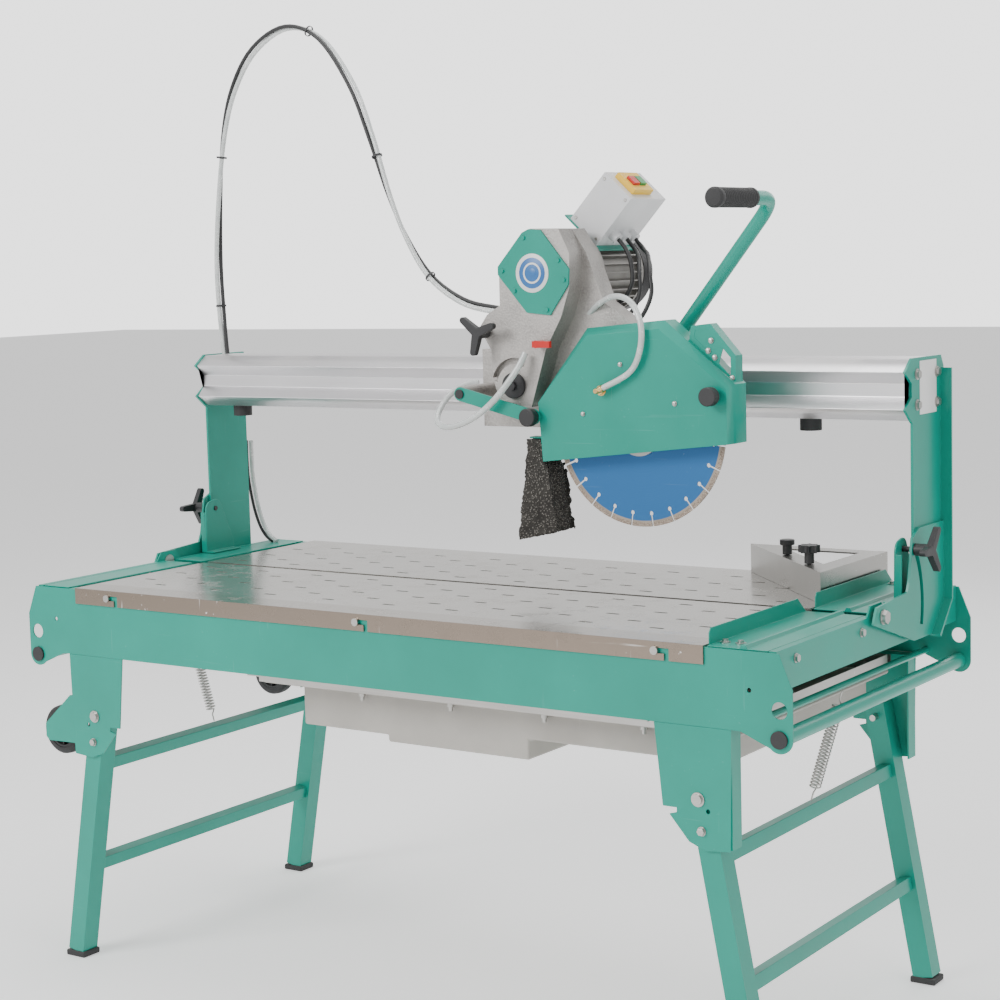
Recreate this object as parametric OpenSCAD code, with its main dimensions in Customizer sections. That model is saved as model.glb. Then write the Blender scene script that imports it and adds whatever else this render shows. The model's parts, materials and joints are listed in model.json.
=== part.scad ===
// Bridge saw for tile and stone: a folding steel frame with a water tank, a slotted
// steel table, and a tilting bridge that carries a motor head with a 350 mm disc.
// X runs along the beam, -Y is the operator's side and +Z is up. The origin is on the
// floor, under the middle of the frame. Sizes are in millimetres.

/* [Frame] */
// Length between the lift tube axes
frame_l = 1650; // [1500:10:2000]
// Depth over the front and rear panels
frame_d = 740; // [700:10:900]
// Height of the table top above the floor
table_h = 760; // [700:10:900]
// Height of the front and rear panels
panel_h = 134; // [120:1:160]
// Thickness of the folded frame sheet
sheet = 3; // [2:0.5:4]
// Diameter of the lift tubes
lift_tube_d = 27; // [22:1:30]

/* [Legs] */
// Side of the square leg tube
leg_s = 40; // [30:1:50]
// Side of the square cross rails
rail_s = 25; // [20:1:30]
// Outward lean of the legs in degrees
leg_lean = 10.5; // [0:0.5:14]
// Distance from each lift tube axis in to the leg pivot
leg_inset = 148; // [130:1:180]
// Diameter of the leg pivot bolts
leg_bolt_d = 12; // [8:1:16]
// Diameter of the transport wheels
wheel_d = 100; // [80:1:110]

/* [Table] */
// Distance from the left lift tube axis to the table's left end
table_in_l = 113; // [100:1:160]
// Distance from the right lift tube axis to the table's right end
table_in_r = 133; // [120:1:170]
// Thickness of the table sheet
table_t = 3; // [2:0.5:5]
// Depth of the table's folded front and rear flanges
flange_h = 28; // [24:1:36]
// Length of one drain slot
slot_l = 28; // [16:1:32]
// Width of one drain slot
slot_w = 7; // [4:0.5:9]
// Width of the gap that the disc runs in
kerf_gap = 14; // [8:1:20]

/* [Bridge] */
// Offset of the cutting line behind the middle of the frame
cut_y = 10; // [-20:1:30]
// Clear height from the table to the beam
beam_rise = 321; // [300:1:380]
// Height of the beam's section
beam_h = 108; // [96:1:120]
// Distance from the cutting line to the beam's front ridges
beam_back = 118; // [112:1:140]
// Depth of the beam's section
beam_dp = 164; // [140:1:190]
// Radius of the tilt lock's arc
tilt_r = 172; // [164:1:180]
// Largest tilt of the bridge in degrees
tilt_max = 45; // [30:1:45]

/* [Blade] */
// Diameter of the cutting disc
blade_d = 350; // [300:5:360]
// Thickness of the disc's steel core
blade_t = 2.4; // [2:0.1:3]
// Number of rim segments
segments = 24; // [18:1:28]
// Diameter of the spindle where it carries the disc
spindle_d = 25.4; // [20:0.1:30]

/* [Head] */
// Place of the head's plunge pivot along the beam
pivot_x = 105; // [-200:1:200]
// Height of the plunge pivot above the table
pivot_rise = 386; // [370:1:400]
// Diameter of the plunge pivot pin
pivot_d = 30; // [24:1:34]
// Diameter of the motor body
motor_d = 150; // [130:1:156]
// Length of the motor body
motor_l = 150; // [120:1:180]
// Diameter of the handle tube
handle_d = 26; // [20:1:30]

/* [Hidden] */
$fn = 48;

green = [0.23, 0.68, 0.6];
steel = [0.76, 0.75, 0.73];
cast = [0.62, 0.6, 0.58];
black = [0.08, 0.08, 0.09];
grey = [0.72, 0.71, 0.69];
gap = 0.4;
run = 0.05;

xe = frame_l / 2;
yf = -frame_d / 2;
yr = frame_d / 2;
zt = table_h;
zl = zt - 141;
zh = zl + 46.5;
zb = zt - panel_h;
leg_x = xe - leg_inset;
leg_z = zl - 114;
leg_y = frame_d / 2 - sheet - leg_s / 2 - 3;
foot_h = 12;
table_xl = -xe + table_in_l;
table_xr = xe - table_in_r;
tilt_z = zt - 4;
beam_x = xe - 3;
web_x = beam_x;
web_t = 5;
tilt_pin_r = 8;
panel_top = zt - table_t - gap;
ear_r = 23;
end_x = xe - 5;
end_drop = 68;

// Helper solids: an outline in the XZ plane drawn out along Y, one in the YZ plane drawn
// out along X, and round bars along each axis.
module along_y(y0, y1) {
    translate([0, y1, 0]) rotate([90, 0, 0]) linear_extrude(y1 - y0) children();
}
module along_x(x0, x1) {
    translate([x0, 0, 0]) rotate([90, 0, 90]) linear_extrude(x1 - x0) children();
}
module block(x0, x1, y0, y1, z0, z1) {
    translate([x0, y0, z0]) cube([x1 - x0, y1 - y0, z1 - z0]);
}
module bar_x(x0, x1, y, z, r) {
    translate([x0, y, z]) rotate([0, 90, 0]) cylinder(r = r, h = x1 - x0);
}
module bar_y(x, y0, y1, z, r) {
    translate([x, y1, z]) rotate([90, 0, 0]) cylinder(r = r, h = y1 - y0);
}
module bar_z(x, y, z0, z1, r) {
    translate([x, y, z0]) cylinder(r = r, h = z1 - z0);
}
module both_ends() {
    children();
    mirror([1, 0, 0]) children();
}
module both_sides() {
    children();
    mirror([0, 1, 0]) children();
}

// A hexagon-headed screw with a washer, its head towards -Y.
module screw_y(x, y, z, r, len) {
    bar_y(x, y, y + len, z, r);
    bar_y(x, y - 1.5, y, z, 2 * r);
    translate([x, y - 1.5, z]) rotate([90, 0, 0]) cylinder(r = 1.7 * r, h = 1.2 * r, $fn = 6);
}
module screw_x(x, y, z, r, len) {
    bar_x(x - len, x, y, z, r);
    bar_x(x, x + 1.5, y, z, 2 * r);
    translate([x + 1.5, y, z]) rotate([0, 90, 0]) cylinder(r = 1.7 * r, h = 1.2 * r, $fn = 6);
}

// Front and rear panels
bolt_xs = [-xe + 200, -12, xe - 222];
bolt_z = zt - 15;
module panel_outline() {
    polygon([[-xe, panel_top], [-xe - 23, zt - 60], [-xe - 23, zl], [-xe - 9, zl - 19],
        [-xe + 9, zl - 19], [-xe + 70, zb], [xe - 70, zb], [xe - 9, zl - 19],
        [xe + 9, zl - 19], [xe + 23, zl], [xe + 23, zt - 60], [xe, panel_top]]);
    for (s = [-1, 1]) {
        translate([s * xe, zl]) circle(ear_r);
    }
}
module panel(y0) {
    difference() {
        along_y(y0, y0 + sheet) panel_outline();
        for (s = [-1, 1]) {
            bar_y(s * xe, y0 - 1, y0 + sheet + 1, zh, 14);
            bar_y(s * xe, y0 - 1, y0 + sheet + 1, zl, lift_tube_d / 2 + run);
            bar_y(s * (leg_x + 95), y0 - 1, y0 + sheet + 1, zt - 66, 4);
        }
        for (x = bolt_xs) {
            bar_y(x, y0 - 1, y0 + sheet + 1, bolt_z, 4);
        }
    }
}
lip_w = 22;
module front_panel() {
    color(green) {
        panel(yf);
        block(-end_x + 16, end_x - 16, yf + sheet, yf + lip_w, panel_top - sheet, panel_top);
        block(-leg_x + 90, leg_x - 90, yf + sheet, yf + lip_w, zb, zb + sheet);
    }
}
module rear_panel() {
    color(green) {
        mirror([0, 1, 0]) panel(yf);
        block(-end_x + 16, end_x - 16, yr - lip_w, yr - sheet, panel_top - sheet, panel_top);
        block(-leg_x + 90, leg_x - 90, yr - lip_w, yr - sheet, zb, zb + sheet);
    }
}

// End panels: upright webs just inside the ears, each with a lip folded inwards
inner_y = frame_d / 2 - sheet - gap;
screw_ys = [yf + 70, cut_y - 60];
module end_panels() {
    color(green) both_ends() {
        difference() {
            union() {
                block(end_x - sheet, end_x, -inner_y, inner_y, zt - end_drop, zt - 1);
                block(end_x - 14, end_x - sheet, -inner_y, inner_y, zt - 1 - sheet, zt - 1);
                block(end_x - 20, end_x - sheet, -inner_y, inner_y, zt - end_drop, zt - end_drop + sheet);
                along_x(end_x - sheet, end_x) polygon([[cut_y - 38, zt - 2], [cut_y - 22, zt + 18],
                    [cut_y + 22, zt + 18], [cut_y + 38, zt - 2]]);
            }
            bar_x(end_x - 16, end_x + 1, cut_y, tilt_z, tilt_pin_r);
            bar_x(end_x - 16, end_x - sheet, cut_y, tilt_z, tilt_pin_r + 8);
            for (y = screw_ys) {
                bar_x(end_x - 4, end_x + 1, y, zt - 22, 4);
            }
        }
        bar_y(leg_x + 84, -inner_y, inner_y, zl + 14, 6);
    }
}

module lift_tubes() {
    color(green) for (s = [-1, 1]) {
        difference() {
            bar_y(s * xe, yf, yr, zl, lift_tube_d / 2);
            bar_y(s * xe, yf - 1, yr + 1, zl, lift_tube_d / 2 - 2.5);
        }
    }
}
module tube_caps() {
    color(black) both_sides() for (s = [-1, 1]) {
        bar_y(s * xe, yf - 4, yf, zl, lift_tube_d / 2 + 1);
        bar_y(s * xe, yf, yf + 14, zl, lift_tube_d / 2 - 2.8);
    }
}

// Leg brackets: plates under the panels, each with a return flange on its outer side
module bracket_outline() {
    x0 = leg_x - 80;
    x1 = leg_x + 62;
    polygon([[x0, zb - gap], [x0 + 14, leg_z - 18], [x0 + 40, leg_z - 18], [x0 + 40, leg_z - 26],
        [x0 + 26, leg_z - 30], [x0 + 62, leg_z - 72], [x0 + 92, leg_z - 84], [x1 - 4, leg_z - 80],
        [x1, zb - gap]]);
}
module leg_brackets() {
    color(green) {
        both_sides() both_ends() {
            difference() {
                along_y(yf, yf + sheet) bracket_outline();
                bar_y(leg_x, yf - 1, yf + sheet + 1, leg_z, leg_bolt_d / 2 + run);
                bar_y(leg_x + 18, yf - 1, yf + sheet + 1, leg_z - 18, 4);
                bar_y(leg_x + 6, yf - 1, yf + sheet + 1, leg_z - 52, 4);
            }
            block(leg_x + 58, leg_x + 61, yf + sheet, yf + 34, leg_z - 78, zb - gap);
            block(leg_x - 70, leg_x + 58, yf + sheet, yf + 34, zb - gap - sheet, zb - gap);
        }
        both_sides() {
            along_y(yf + sheet, yf + sheet + 3) polygon([[wheel_x - 16, wheel_z + 18],
                [-leg_x - 70, leg_z + 36], [-leg_x - 50, leg_z + 36], [-leg_x - 50, leg_z - 60],
                [wheel_x - 8, wheel_z - 16], [wheel_x - 16, wheel_z - 8]]);
        }
    }
}

// Bolts and screws of the frame: leg pivots, wheel axles, table hooks, tilt pivots
// and the covers' screws
module frame_bolts() {
    color(steel) {
        both_sides() both_ends() {
            bar_y(leg_x, yf, yf + leg_s + 22, leg_z, leg_bolt_d / 2);
            bar_y(leg_x, yf - 2, yf, leg_z, leg_bolt_d);
            bar_y(leg_x, yf - 6, yf - 2, leg_z, 0.7 * leg_bolt_d);
            screw_y(leg_x + 6, yf, leg_z - 52, 3.95, 5);
        }
        both_sides() {
            bar_y(wheel_x, yf + sheet + 3, wheel_y + wheel_w + 6, wheel_z, axle_r);
            bar_y(wheel_x, wheel_y + wheel_w + 2, wheel_y + wheel_w + 8, wheel_z, axle_r + 5);
            for (x = bolt_xs) {
                bar_y(x, hook_y, yf + 8, bolt_z, 3.95);
                bar_y(x, hook_y - 4, hook_y, bolt_z, 7);
            }
            for (x = [18, 46]) {
                bar_z(table_xr + x, yf + 40, tray_z, tray_z + 2, 9);
                bar_z(table_xr + x, yf + 40, tray_z + 2, tray_z + 6, 5);
            }
        }
        both_ends() {
            for (y = screw_ys) {
                screw_x(end_x, y, zt - 22, 3.95, 2);
            }
            bar_x(end_x - sheet - 2, web_x + 14, cut_y, tilt_z, tilt_pin_r);
            bar_x(end_x - sheet - 2, end_x - sheet, cut_y, tilt_z, tilt_pin_r + 6);
            bar_x(web_x + 2 * web_t + gap, web_x + 2 * web_t + 3, cut_y, tilt_z, tilt_pin_r + 5);
            translate([web_x + 2 * web_t + 3, cut_y, tilt_z]) rotate([0, 90, 0]) cylinder(r = 12, h = 7, $fn = 6);
        }
    }
}
hook_y = yf - gap - table_t - gap;

// End trays: green covers between the table's ends and the end panels. The right ones
// have upstands that the work is squared against.
tray_z = zt - 1;
tray_gap = 14;
upstand_h = 26;
module end_trays() {
    color(green) {
        for (span = [[-inner_y + 1, cut_y - tray_gap], [cut_y + tray_gap, inner_y - 1]]) {
            y0 = span[0];
            y1 = span[1];
            block(table_xr + 4, end_x - 16, y0, y1, tray_z - 2, tray_z);
            along_y(y0, y1) polygon([[table_xr + 62, tray_z], [table_xr + 66, tray_z + 6],
                [table_xr + 72, tray_z + 6], [table_xr + 76, tray_z]]);
            along_x(table_xr + 2, table_xr + 4) polygon([[y0 + 8, tray_z - 2], [y1, tray_z - 2],
                [y1 - 34, zt + upstand_h], [y0 + 14, zt + upstand_h], [y0 + 8, zt + upstand_h - 8]]);
            block(-end_x + 16, table_xl - 26, y0, y1, tray_z - 2, tray_z);
        }
    }
}

// Fixed quadrants that the bridge's lock knobs clamp against
knob_a = 35;
stud_r = 5;
quad_x = end_x - 15;
quad_t = 4;
stud_y = cut_y + tilt_r * cos(knob_a);
stud_z = tilt_z + tilt_r * sin(knob_a);
module tilt_quadrants() {
    color(green) both_ends() difference() {
        union() {
            along_x(quad_x, quad_x + quad_t) hull() {
                translate([cut_y + 108, zt]) square([88, 20]);
                translate([cut_y + 130, zt + 92]) circle(20, $fn = 32);
                translate([stud_y, stud_z]) circle(20, $fn = 32);
            }
            block(quad_x + quad_t, end_x, cut_y + 108, cut_y + 112, zt, zt + 88);
            block(quad_x - 20, quad_x, cut_y + 108, cut_y + 196, zt, zt + 3);
        }
        bar_x(quad_x - 1, quad_x + quad_t + 1, stud_y, stud_z, stud_r + run);
    }
}

// Water tank: a moulded tray under the frame with a deeper sump for the pump
tank_x0 = -300;
tank_x1 = xe - 110;
tank_y = 300;
tank_z = zl - 24;
tank_w = 4;
// Floor depths below the rim: under the left end, the sump and the right end
left_d = 77;
sump_d = 90;
right_d = 53;
sump_x0 = tank_x0 + 277;
sump_x1 = tank_x0 + 588;
module tank_form(inset) {
    x0 = tank_x0 + 80 + inset;
    x1 = tank_x1 - 34 - inset;
    y = tank_y - 24 - inset;
    z1 = tank_z + (inset > 0 ? 20 : 0);
    block(x0, sump_x1 - inset, -y, y, tank_z - left_d + inset, z1);
    block(sump_x0 + inset, sump_x1 - inset, -y, y, tank_z - sump_d + inset, z1);
    block(x0, x1, -y, y, tank_z - right_d + inset, z1);
}
module water_tank() {
    color(grey) difference() {
        union() {
            block(tank_x0, tank_x1, -tank_y, tank_y, tank_z, tank_z + 10);
            tank_form(0);
        }
        tank_form(tank_w);
    }
}
rail_y = tank_y + 32;
module tank_rails() {
    color(steel) {
        both_sides() {
            block(tank_x0 + 20, tank_x1 - 10, tank_y - 20, rail_y, tank_z + 10 + gap, tank_z + 13);
            block(tank_x0 + 20, tank_x1 - 10, rail_y - 3, rail_y, tank_z + 13, zb - gap);
            block(tank_x0 + 20, leg_x - 95, rail_y, yr - sheet - 2, zb - gap - 3, zb - gap);
        }
        block(tank_x1 - 6, tank_x1 - 3, -tank_y, tank_y, tank_z + 10 + gap, tank_z + 36);
        for (s = [-1, 1]) for (i = [0:3]) {
            bar_z(tank_x0 + 230 + 200 * i, s * (tank_y - 12), tank_z - 14, tank_z, 4);
            bar_z(tank_x0 + 230 + 200 * i, s * (tank_y - 12), tank_z - 6, tank_z, 7);
        }
    }
}
pump_x = sump_x0 + 90;
module pump() {
    color(black) {
        block(pump_x - 45, pump_x + 45, 120, 190, tank_z - sump_d + tank_w, tank_z - 20);
        bar_z(pump_x, 155, tank_z - 20, tank_z, 8);
    }
}

// Transport wheels on the left leg brackets
wheel_x = -leg_x - 126;
wheel_z = leg_z - 46;
wheel_w = 30;
wheel_y = yf + 30;
axle_r = 8;
module wheel() {
    color(black) difference() {
        bar_y(wheel_x, wheel_y, wheel_y + wheel_w, wheel_z, wheel_d / 2);
        bar_y(wheel_x, wheel_y - 1, wheel_y + wheel_w + 1, wheel_z, axle_r + run);
        for (s = [0, 1]) {
            translate([wheel_x, wheel_y - 1 + s * (wheel_w - 5), wheel_z]) rotate([-90, 0, 0])
                difference() {
                    cylinder(r = wheel_d / 2 - 12, h = 7);
                    translate([0, 0, -1]) cylinder(r = 18, h = 9);
                }
        }
    }
}
module wheel_front() {
    wheel();
}
module wheel_rear() {
    mirror([0, 1, 0]) wheel();
}

// Folding legs: each pair leans out from its pivots and is joined by two cross rails
leg_len = (leg_z - foot_h) / cos(leg_lean);
module lean() {
    translate([leg_x, 0, leg_z]) rotate([0, -leg_lean, 0]) children();
}
module leg_tubes() {
    both_sides() difference() {
        lean() translate([-leg_s / 2, -leg_y - leg_s / 2, -leg_len])
            difference() {
                cube([leg_s, leg_s, leg_len + leg_s * 0.6]);
                translate([2.5, 2.5, -1]) cube([leg_s - 5, leg_s - 5, leg_len + leg_s * 0.6 + 2]);
            }
        bar_y(leg_x, -leg_y - leg_s, -leg_y + leg_s, leg_z, leg_bolt_d / 2 + run);
        block(leg_x - 150, leg_x + 300, -leg_y - leg_s, -leg_y + leg_s, -100, foot_h);
    }
}
rail_drop = [104, 320];
module leg_rails() {
    lean() for (d = rail_drop) {
        translate([-rail_s / 2, -leg_y + leg_s / 2, -d - rail_s / 2])
            cube([rail_s, 2 * leg_y - leg_s, rail_s]);
    }
}
foot_x = leg_x + (leg_z - foot_h) * tan(leg_lean);
module leg_feet() {
    both_sides() block(foot_x - leg_s / 2 - 5, foot_x + leg_s / 2 + 5, -leg_y - leg_s / 2 - 3,
        -leg_y + leg_s / 2 + 3, 0, foot_h);
}
module legs_right() {
    color(green) leg_tubes();
}
module rails_right() {
    color(green) leg_rails();
}
module feet_right() {
    color(black) leg_feet();
}
module legs_left() {
    color(green) mirror([1, 0, 0]) leg_tubes();
}
module rails_left() {
    color(green) mirror([1, 0, 0]) leg_rails();
}
module feet_left() {
    color(black) mirror([1, 0, 0]) leg_feet();
}

// Over-centre springs from the end panels to the upper cross rails
spring_top = [leg_x + 83, zl + 4];
spring_low = [leg_x + sin(leg_lean) * rail_drop[0] + 2, leg_z - cos(leg_lean) * rail_drop[0] + 17];
spring_r = 11;
module leg_spring() {
    dx = spring_low[0] - spring_top[0];
    dz = spring_low[1] - spring_top[1];
    len = norm([dx, dz]);
    color(steel) translate([spring_top[0], 0, spring_top[1]]) rotate([0, atan2(dx, dz), 0]) {
        cylinder(r = 2, h = 30);
        translate([0, 0, 28]) cylinder(r = spring_r, h = len - 50);
        translate([0, 0, len - 24]) cylinder(r = 2, h = 23);
    }
}
module spring_right() {
    leg_spring();
}
module spring_left() {
    mirror([1, 0, 0]) leg_spring();
}

// Table halves: stainless sheets with drain slots, hooked over the panels' screws
slot_px = 141;
slot_py = 45.5;
slot_rows = 6;
module drain_slot(x, y) {
    translate([x, y]) {
        square([slot_l - slot_w, slot_w], center = true);
        translate([-(slot_l - slot_w) / 2, 0]) circle(slot_w / 2, $fn = 20);
        translate([(slot_l - slot_w) / 2, 0]) circle(slot_w / 2, $fn = 20);
    }
}
slot_x0 = -652;
lip = 4;
module table_half(s, y_in, y_out) {
    sheet_y0 = min(y_in, y_out);
    sheet_y1 = max(y_in, y_out);
    difference() {
        union() {
            translate([0, 0, zt - table_t]) linear_extrude(table_t) difference() {
                translate([table_xl, sheet_y0]) square([table_xr - table_xl, sheet_y1 - sheet_y0]);
                for (i = [0:slot_rows - 1]) {
                    for (x = [slot_x0 + (i % 2) * slot_px / 2 : slot_px : table_xr - 60]) {
                        drain_slot(x, cut_y + s * (50 + slot_py * i));
                    }
                }
            }
            block(table_xl, table_xr, s > 0 ? y_out - table_t : y_out, s > 0 ? y_out : y_out + table_t,
                zt - flange_h - table_t, zt - table_t);
            block(table_xl, table_xr, s > 0 ? y_in + lip : y_in - lip - table_t,
                s > 0 ? y_in + lip + table_t : y_in - lip, zt - 20, zt - table_t);
        }
        for (x = bolt_xs) {
            block(x - 5, x + 26, min(y_out, y_out - s * 9), max(y_out, y_out - s * 9), bolt_z - 4.5, bolt_z + 4.5);
            block(x + 17, x + 26, min(y_out, y_out - s * 9), max(y_out, y_out - s * 9), zt - flange_h - 9, bolt_z);
        }
    }
}
table_yf = yf - gap - table_t;
module table_front() {
    color(steel) table_half(-1, cut_y - kerf_gap / 2, table_yf);
}
module table_rear() {
    color(steel) table_half(1, cut_y + kerf_gap / 2, -table_yf);
}

// Angle guide: a folded 45 degree square clamped to the rear right upstand
guide_x = table_xr - 3;
guide_y0 = cut_y + 56;
guide_side = 290;
guide_h = 56;
guide_t = 3;
module guide_outline(inset) {
    polygon([[guide_x - inset, guide_y0 + inset * 2.414],
        [guide_x - inset, guide_y0 + guide_side - inset],
        [guide_x - guide_side + inset * 2.414, guide_y0 + guide_side - inset]]);
}
module guide_plate() {
    color(steel) difference() {
        translate([0, 0, zt + gap]) difference() {
            linear_extrude(guide_h) guide_outline(0);
            translate([0, 0, -1]) linear_extrude(guide_h - guide_t + 1) guide_outline(guide_t);
            translate([0, 0, guide_h - guide_t - 1]) linear_extrude(guide_t + 2) guide_outline(40);
            translate([guide_x - guide_side - 20, guide_y0 + guide_side - guide_t - 1, -1])
                cube([guide_side, 60, guide_h + 2]);
        }
        for (p = guide_knob_xy) {
            bar_z(p[0], p[1], zt + 20, zt + 70, 4 + run);
        }
    }
}
module star_knob(r, h, lobes) {
    difference() {
        cylinder(r = r, h = h);
        for (i = [0:lobes - 1]) {
            rotate(i * 360 / lobes) translate([r * 1.18, 0, -1]) cylinder(r = r * 0.42, h = h + 2, $fn = 24);
        }
    }
}
guide_knob_xy = [[guide_x - 62, guide_y0 + 84], [guide_x - 150, guide_y0 + 172]];
module guide_clamp_knob() {
    color(black) translate([guide_knob_xy[0][0], guide_knob_xy[0][1], zt + 26]) {
        cylinder(r = 4, h = 52);
        translate([0, 0, 32]) cylinder(r = 9, h = 22);
        translate([0, 0, 52]) star_knob(20, 14, 8);
    }
}
module guide_knob() {
    color(black) translate([guide_knob_xy[1][0], guide_knob_xy[1][1], zt + 26]) {
        cylinder(r = 4, h = 52);
        translate([0, 0, 32]) cylinder(r = 9, h = 22);
        translate([0, 0, 50]) cylinder(r = 14, h = 10);
    }
}

// Three-armed lock knob with its stud, drawn along +Z from its seat
module lobe_knob(stud_len, r) {
    translate([0, 0, -stud_len]) cylinder(r = stud_r, h = stud_len + 1);
    cylinder(r = 11, h = 26);
    translate([0, 0, 22]) for (i = [0:2]) {
        rotate(i * 120) hull() {
            cylinder(r = 9, h = 12, $fn = 32);
            translate([r - 7, 0, 4]) cylinder(r = 6, h = 11, $fn = 32);
        }
    }
}
knob_x = web_x + 2 * web_t + 1;
module tilt_knob() {
    color(black) translate([knob_x, stud_y, stud_z]) rotate([0, 90, 0]) rotate(30) lobe_knob(30, 46);
}
module tilt_knob_right() {
    tilt_knob();
}
module tilt_knob_left() {
    mirror([1, 0, 0]) tilt_knob();
}

// Bridge: uprights with their tilt plates, the beam and its end plates
beam_z = zt + beam_rise;
beam_y = cut_y + beam_back;
beam_in = 28;
web_in = 20;
mid_z = beam_z + beam_h / 2;
ridge = 33;
web_half = 12;
beam_wall = 5;
module beam_section(w) {
    polygon([[beam_y + beam_in + w / 2, beam_z + w], [beam_y + beam_dp - beam_in - w / 2, beam_z + w],
        [beam_y + beam_dp - w, mid_z - ridge + w / 3], [beam_y + beam_dp - web_in - w, mid_z - web_half + w / 3],
        [beam_y + beam_dp - web_in - w, mid_z + web_half - w / 3], [beam_y + beam_dp - w, mid_z + ridge - w / 3],
        [beam_y + beam_dp - beam_in - w / 2, beam_z + beam_h - w], [beam_y + beam_in + w / 2, beam_z + beam_h - w],
        [beam_y + w, mid_z + ridge - w / 3], [beam_y + web_in + w, mid_z + web_half - w / 3],
        [beam_y + web_in + w, mid_z - web_half + w / 3], [beam_y + w, mid_z - ridge + w / 3]]);
}
module beam() {
    mid_y = beam_y + beam_dp / 2;
    color([0.85, 0.85, 0.87]) difference() {
        along_x(-beam_x, beam_x) beam_section(0);
        along_x(-beam_x - 1, beam_x + 1) difference() {
            beam_section(beam_wall);
            translate([mid_y - 3, beam_z]) square([6, beam_h]);
        }
    }
}
module head_plate_outline() {
    polygon([[beam_y + beam_in - 2, beam_z - 4], [beam_y + beam_dp, beam_z - 4],
        [beam_y + beam_dp + 4, beam_z + beam_h - 18], [beam_y + beam_dp - 8, beam_z + beam_h + 2],
        [beam_y + beam_in - 2, beam_z + beam_h + 2], [beam_y - 4, mid_z + ridge],
        [beam_y + beam_in - 4, mid_z + web_half], [beam_y + beam_in - 4, mid_z - web_half],
        [beam_y - 4, mid_z - ridge]]);
}
module bridge_screws() {
    color(steel) both_ends() for (y = [beam_y + 46, beam_y + 134]) for (z = [mid_z - 27, mid_z + 27]) {
        bar_x(web_x + web_t, web_x + web_t + 2, y, z, 10);
        translate([web_x + web_t + 2, y, z]) rotate([0, 90, 0]) cylinder(r = 7.5, h = 5, $fn = 6);
    }
}
post_y0 = beam_y + 28;
post_y1 = beam_y + beam_dp - 12;
module tilt_plate_outline() {
    polygon([[cut_y - 21, zt + 15], [cut_y + 109, zt + 23], [cut_y + 117, zt + 42],
        [cut_y + 131, zt + 116], [cut_y + 161, zt + 131], [post_y1, zt + 131],
        [post_y1, zt - 68], [cut_y + 138, zt - 68], [cut_y - 36, zt - 13]]);
}
module arc_slot(r, w, a0, a1) {
    intersection() {
        difference() {
            circle(r + w / 2, $fn = 96);
            circle(r - w / 2, $fn = 96);
        }
        polygon([[0, 0], [2 * r * cos(a0), 2 * r * sin(a0)],
            [2 * r * cos((a0 + a1) / 2), 2 * r * sin((a0 + a1) / 2)], [2 * r * cos(a1), 2 * r * sin(a1)]]);
    }
}
slot_clear = 1.5;
flange_x1 = web_x + 26;
module uprights() {
    color(green) both_ends() difference() {
        union() {
            along_x(web_x, web_x + web_t) head_plate_outline();
            block(web_x, web_x + web_t, post_y0, post_y1 + 4, zt - 11, mid_z - ridge);
            along_x(web_x + web_t, web_x + 2 * web_t) tilt_plate_outline();
            block(web_x, flange_x1, post_y1, post_y1 + 4, zt - 11, mid_z + ridge);
            along_x(web_x + web_t, flange_x1) polygon([[post_y1, zt - 11], [post_y1 + 4, zt - 11],
                [cut_y + 219, zt - 73], [cut_y + 214, zt - 68]]);
        }
        bar_x(web_x - 1, flange_x1, cut_y, tilt_z, tilt_pin_r + run);
        along_x(web_x - 1, web_x + 2 * web_t + 1) translate([cut_y, tilt_z]) {
            arc_slot(tilt_r, 2 * (stud_r + slot_clear), knob_a - tilt_max - 3, knob_a + 3);
        }
    }
}
stop_xs = [-752, 612];
stop_y = beam_y + 66;
module bumpers() {
    color(black) for (x = stop_xs) {
        bar_z(x, stop_y, beam_z - 24, beam_z, 20);
    }
}

// Carriage: a casting that straddles the beam on four roller spindles
car_x0 = pivot_x - 140;
car_x1 = pivot_x + 95;
car_y0 = cut_y + 72;
roller_in = 36;
roller_r0 = 12;
roller_r1 = 20;
roller_xs = [car_x0 + roller_in, car_x1 - roller_in];
roller_yf = beam_y - roller_r0 - gap;
roller_yr = beam_y + beam_dp + roller_r0 + gap;
car_yr = roller_yr + 24;
car_z0 = beam_z - 22;
car_z1 = beam_z + beam_h + 20;
pivot_z = zt + pivot_rise;
link_px = pivot_x - 110.5;
link_pz = pivot_z - 16;
module carriage() {
    color(cast) {
        difference() {
            union() {
                block(car_x0, car_x1, car_y0, roller_yf + 4, car_z0, car_z1 - 12);
                block(car_x0, car_x1, car_y0, car_yr, car_z1 - 12, car_z1);
                block(car_x0, car_x1, roller_yr - 4, car_yr, car_z0 + 8, car_z1 - 12);
                block(car_x0, car_x1, roller_yf + 3, stop_y, car_z0, car_z0 + 10);
                bar_y(pivot_x, case_y1 + gap, car_y0 + 1, pivot_z, 46);
                block(car_x0 + 20, car_x0 + 60, cut_y + 180, cut_y + 200, car_z1, car_z1 + 56);
                bar_y(link_px, link_y + 2 + gap, car_y0 + 1, link_pz, 15);
            }
            bar_y(link_px, link_y, link_y + 30, link_pz, 5);
            for (x = roller_xs) {
                for (y = [roller_yf, roller_yr]) {
                    bar_z(x, y, car_z0 - 1, car_z1 + 1, roller_axle + run);
                    for (z = [mid_z - ridge, mid_z + ridge]) {
                        bar_z(x, y, z - 17, z + 17, roller_r1 + 2);
                    }
                }
            }
            along_x(car_x0 - 1, car_x1 + 1) offset_section();
            bar_y(pivot_x, case_y1 - 1, beam_y - 10, pivot_z, pivot_d / 2);
        }
    }
}
roller_axle = 6;
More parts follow.
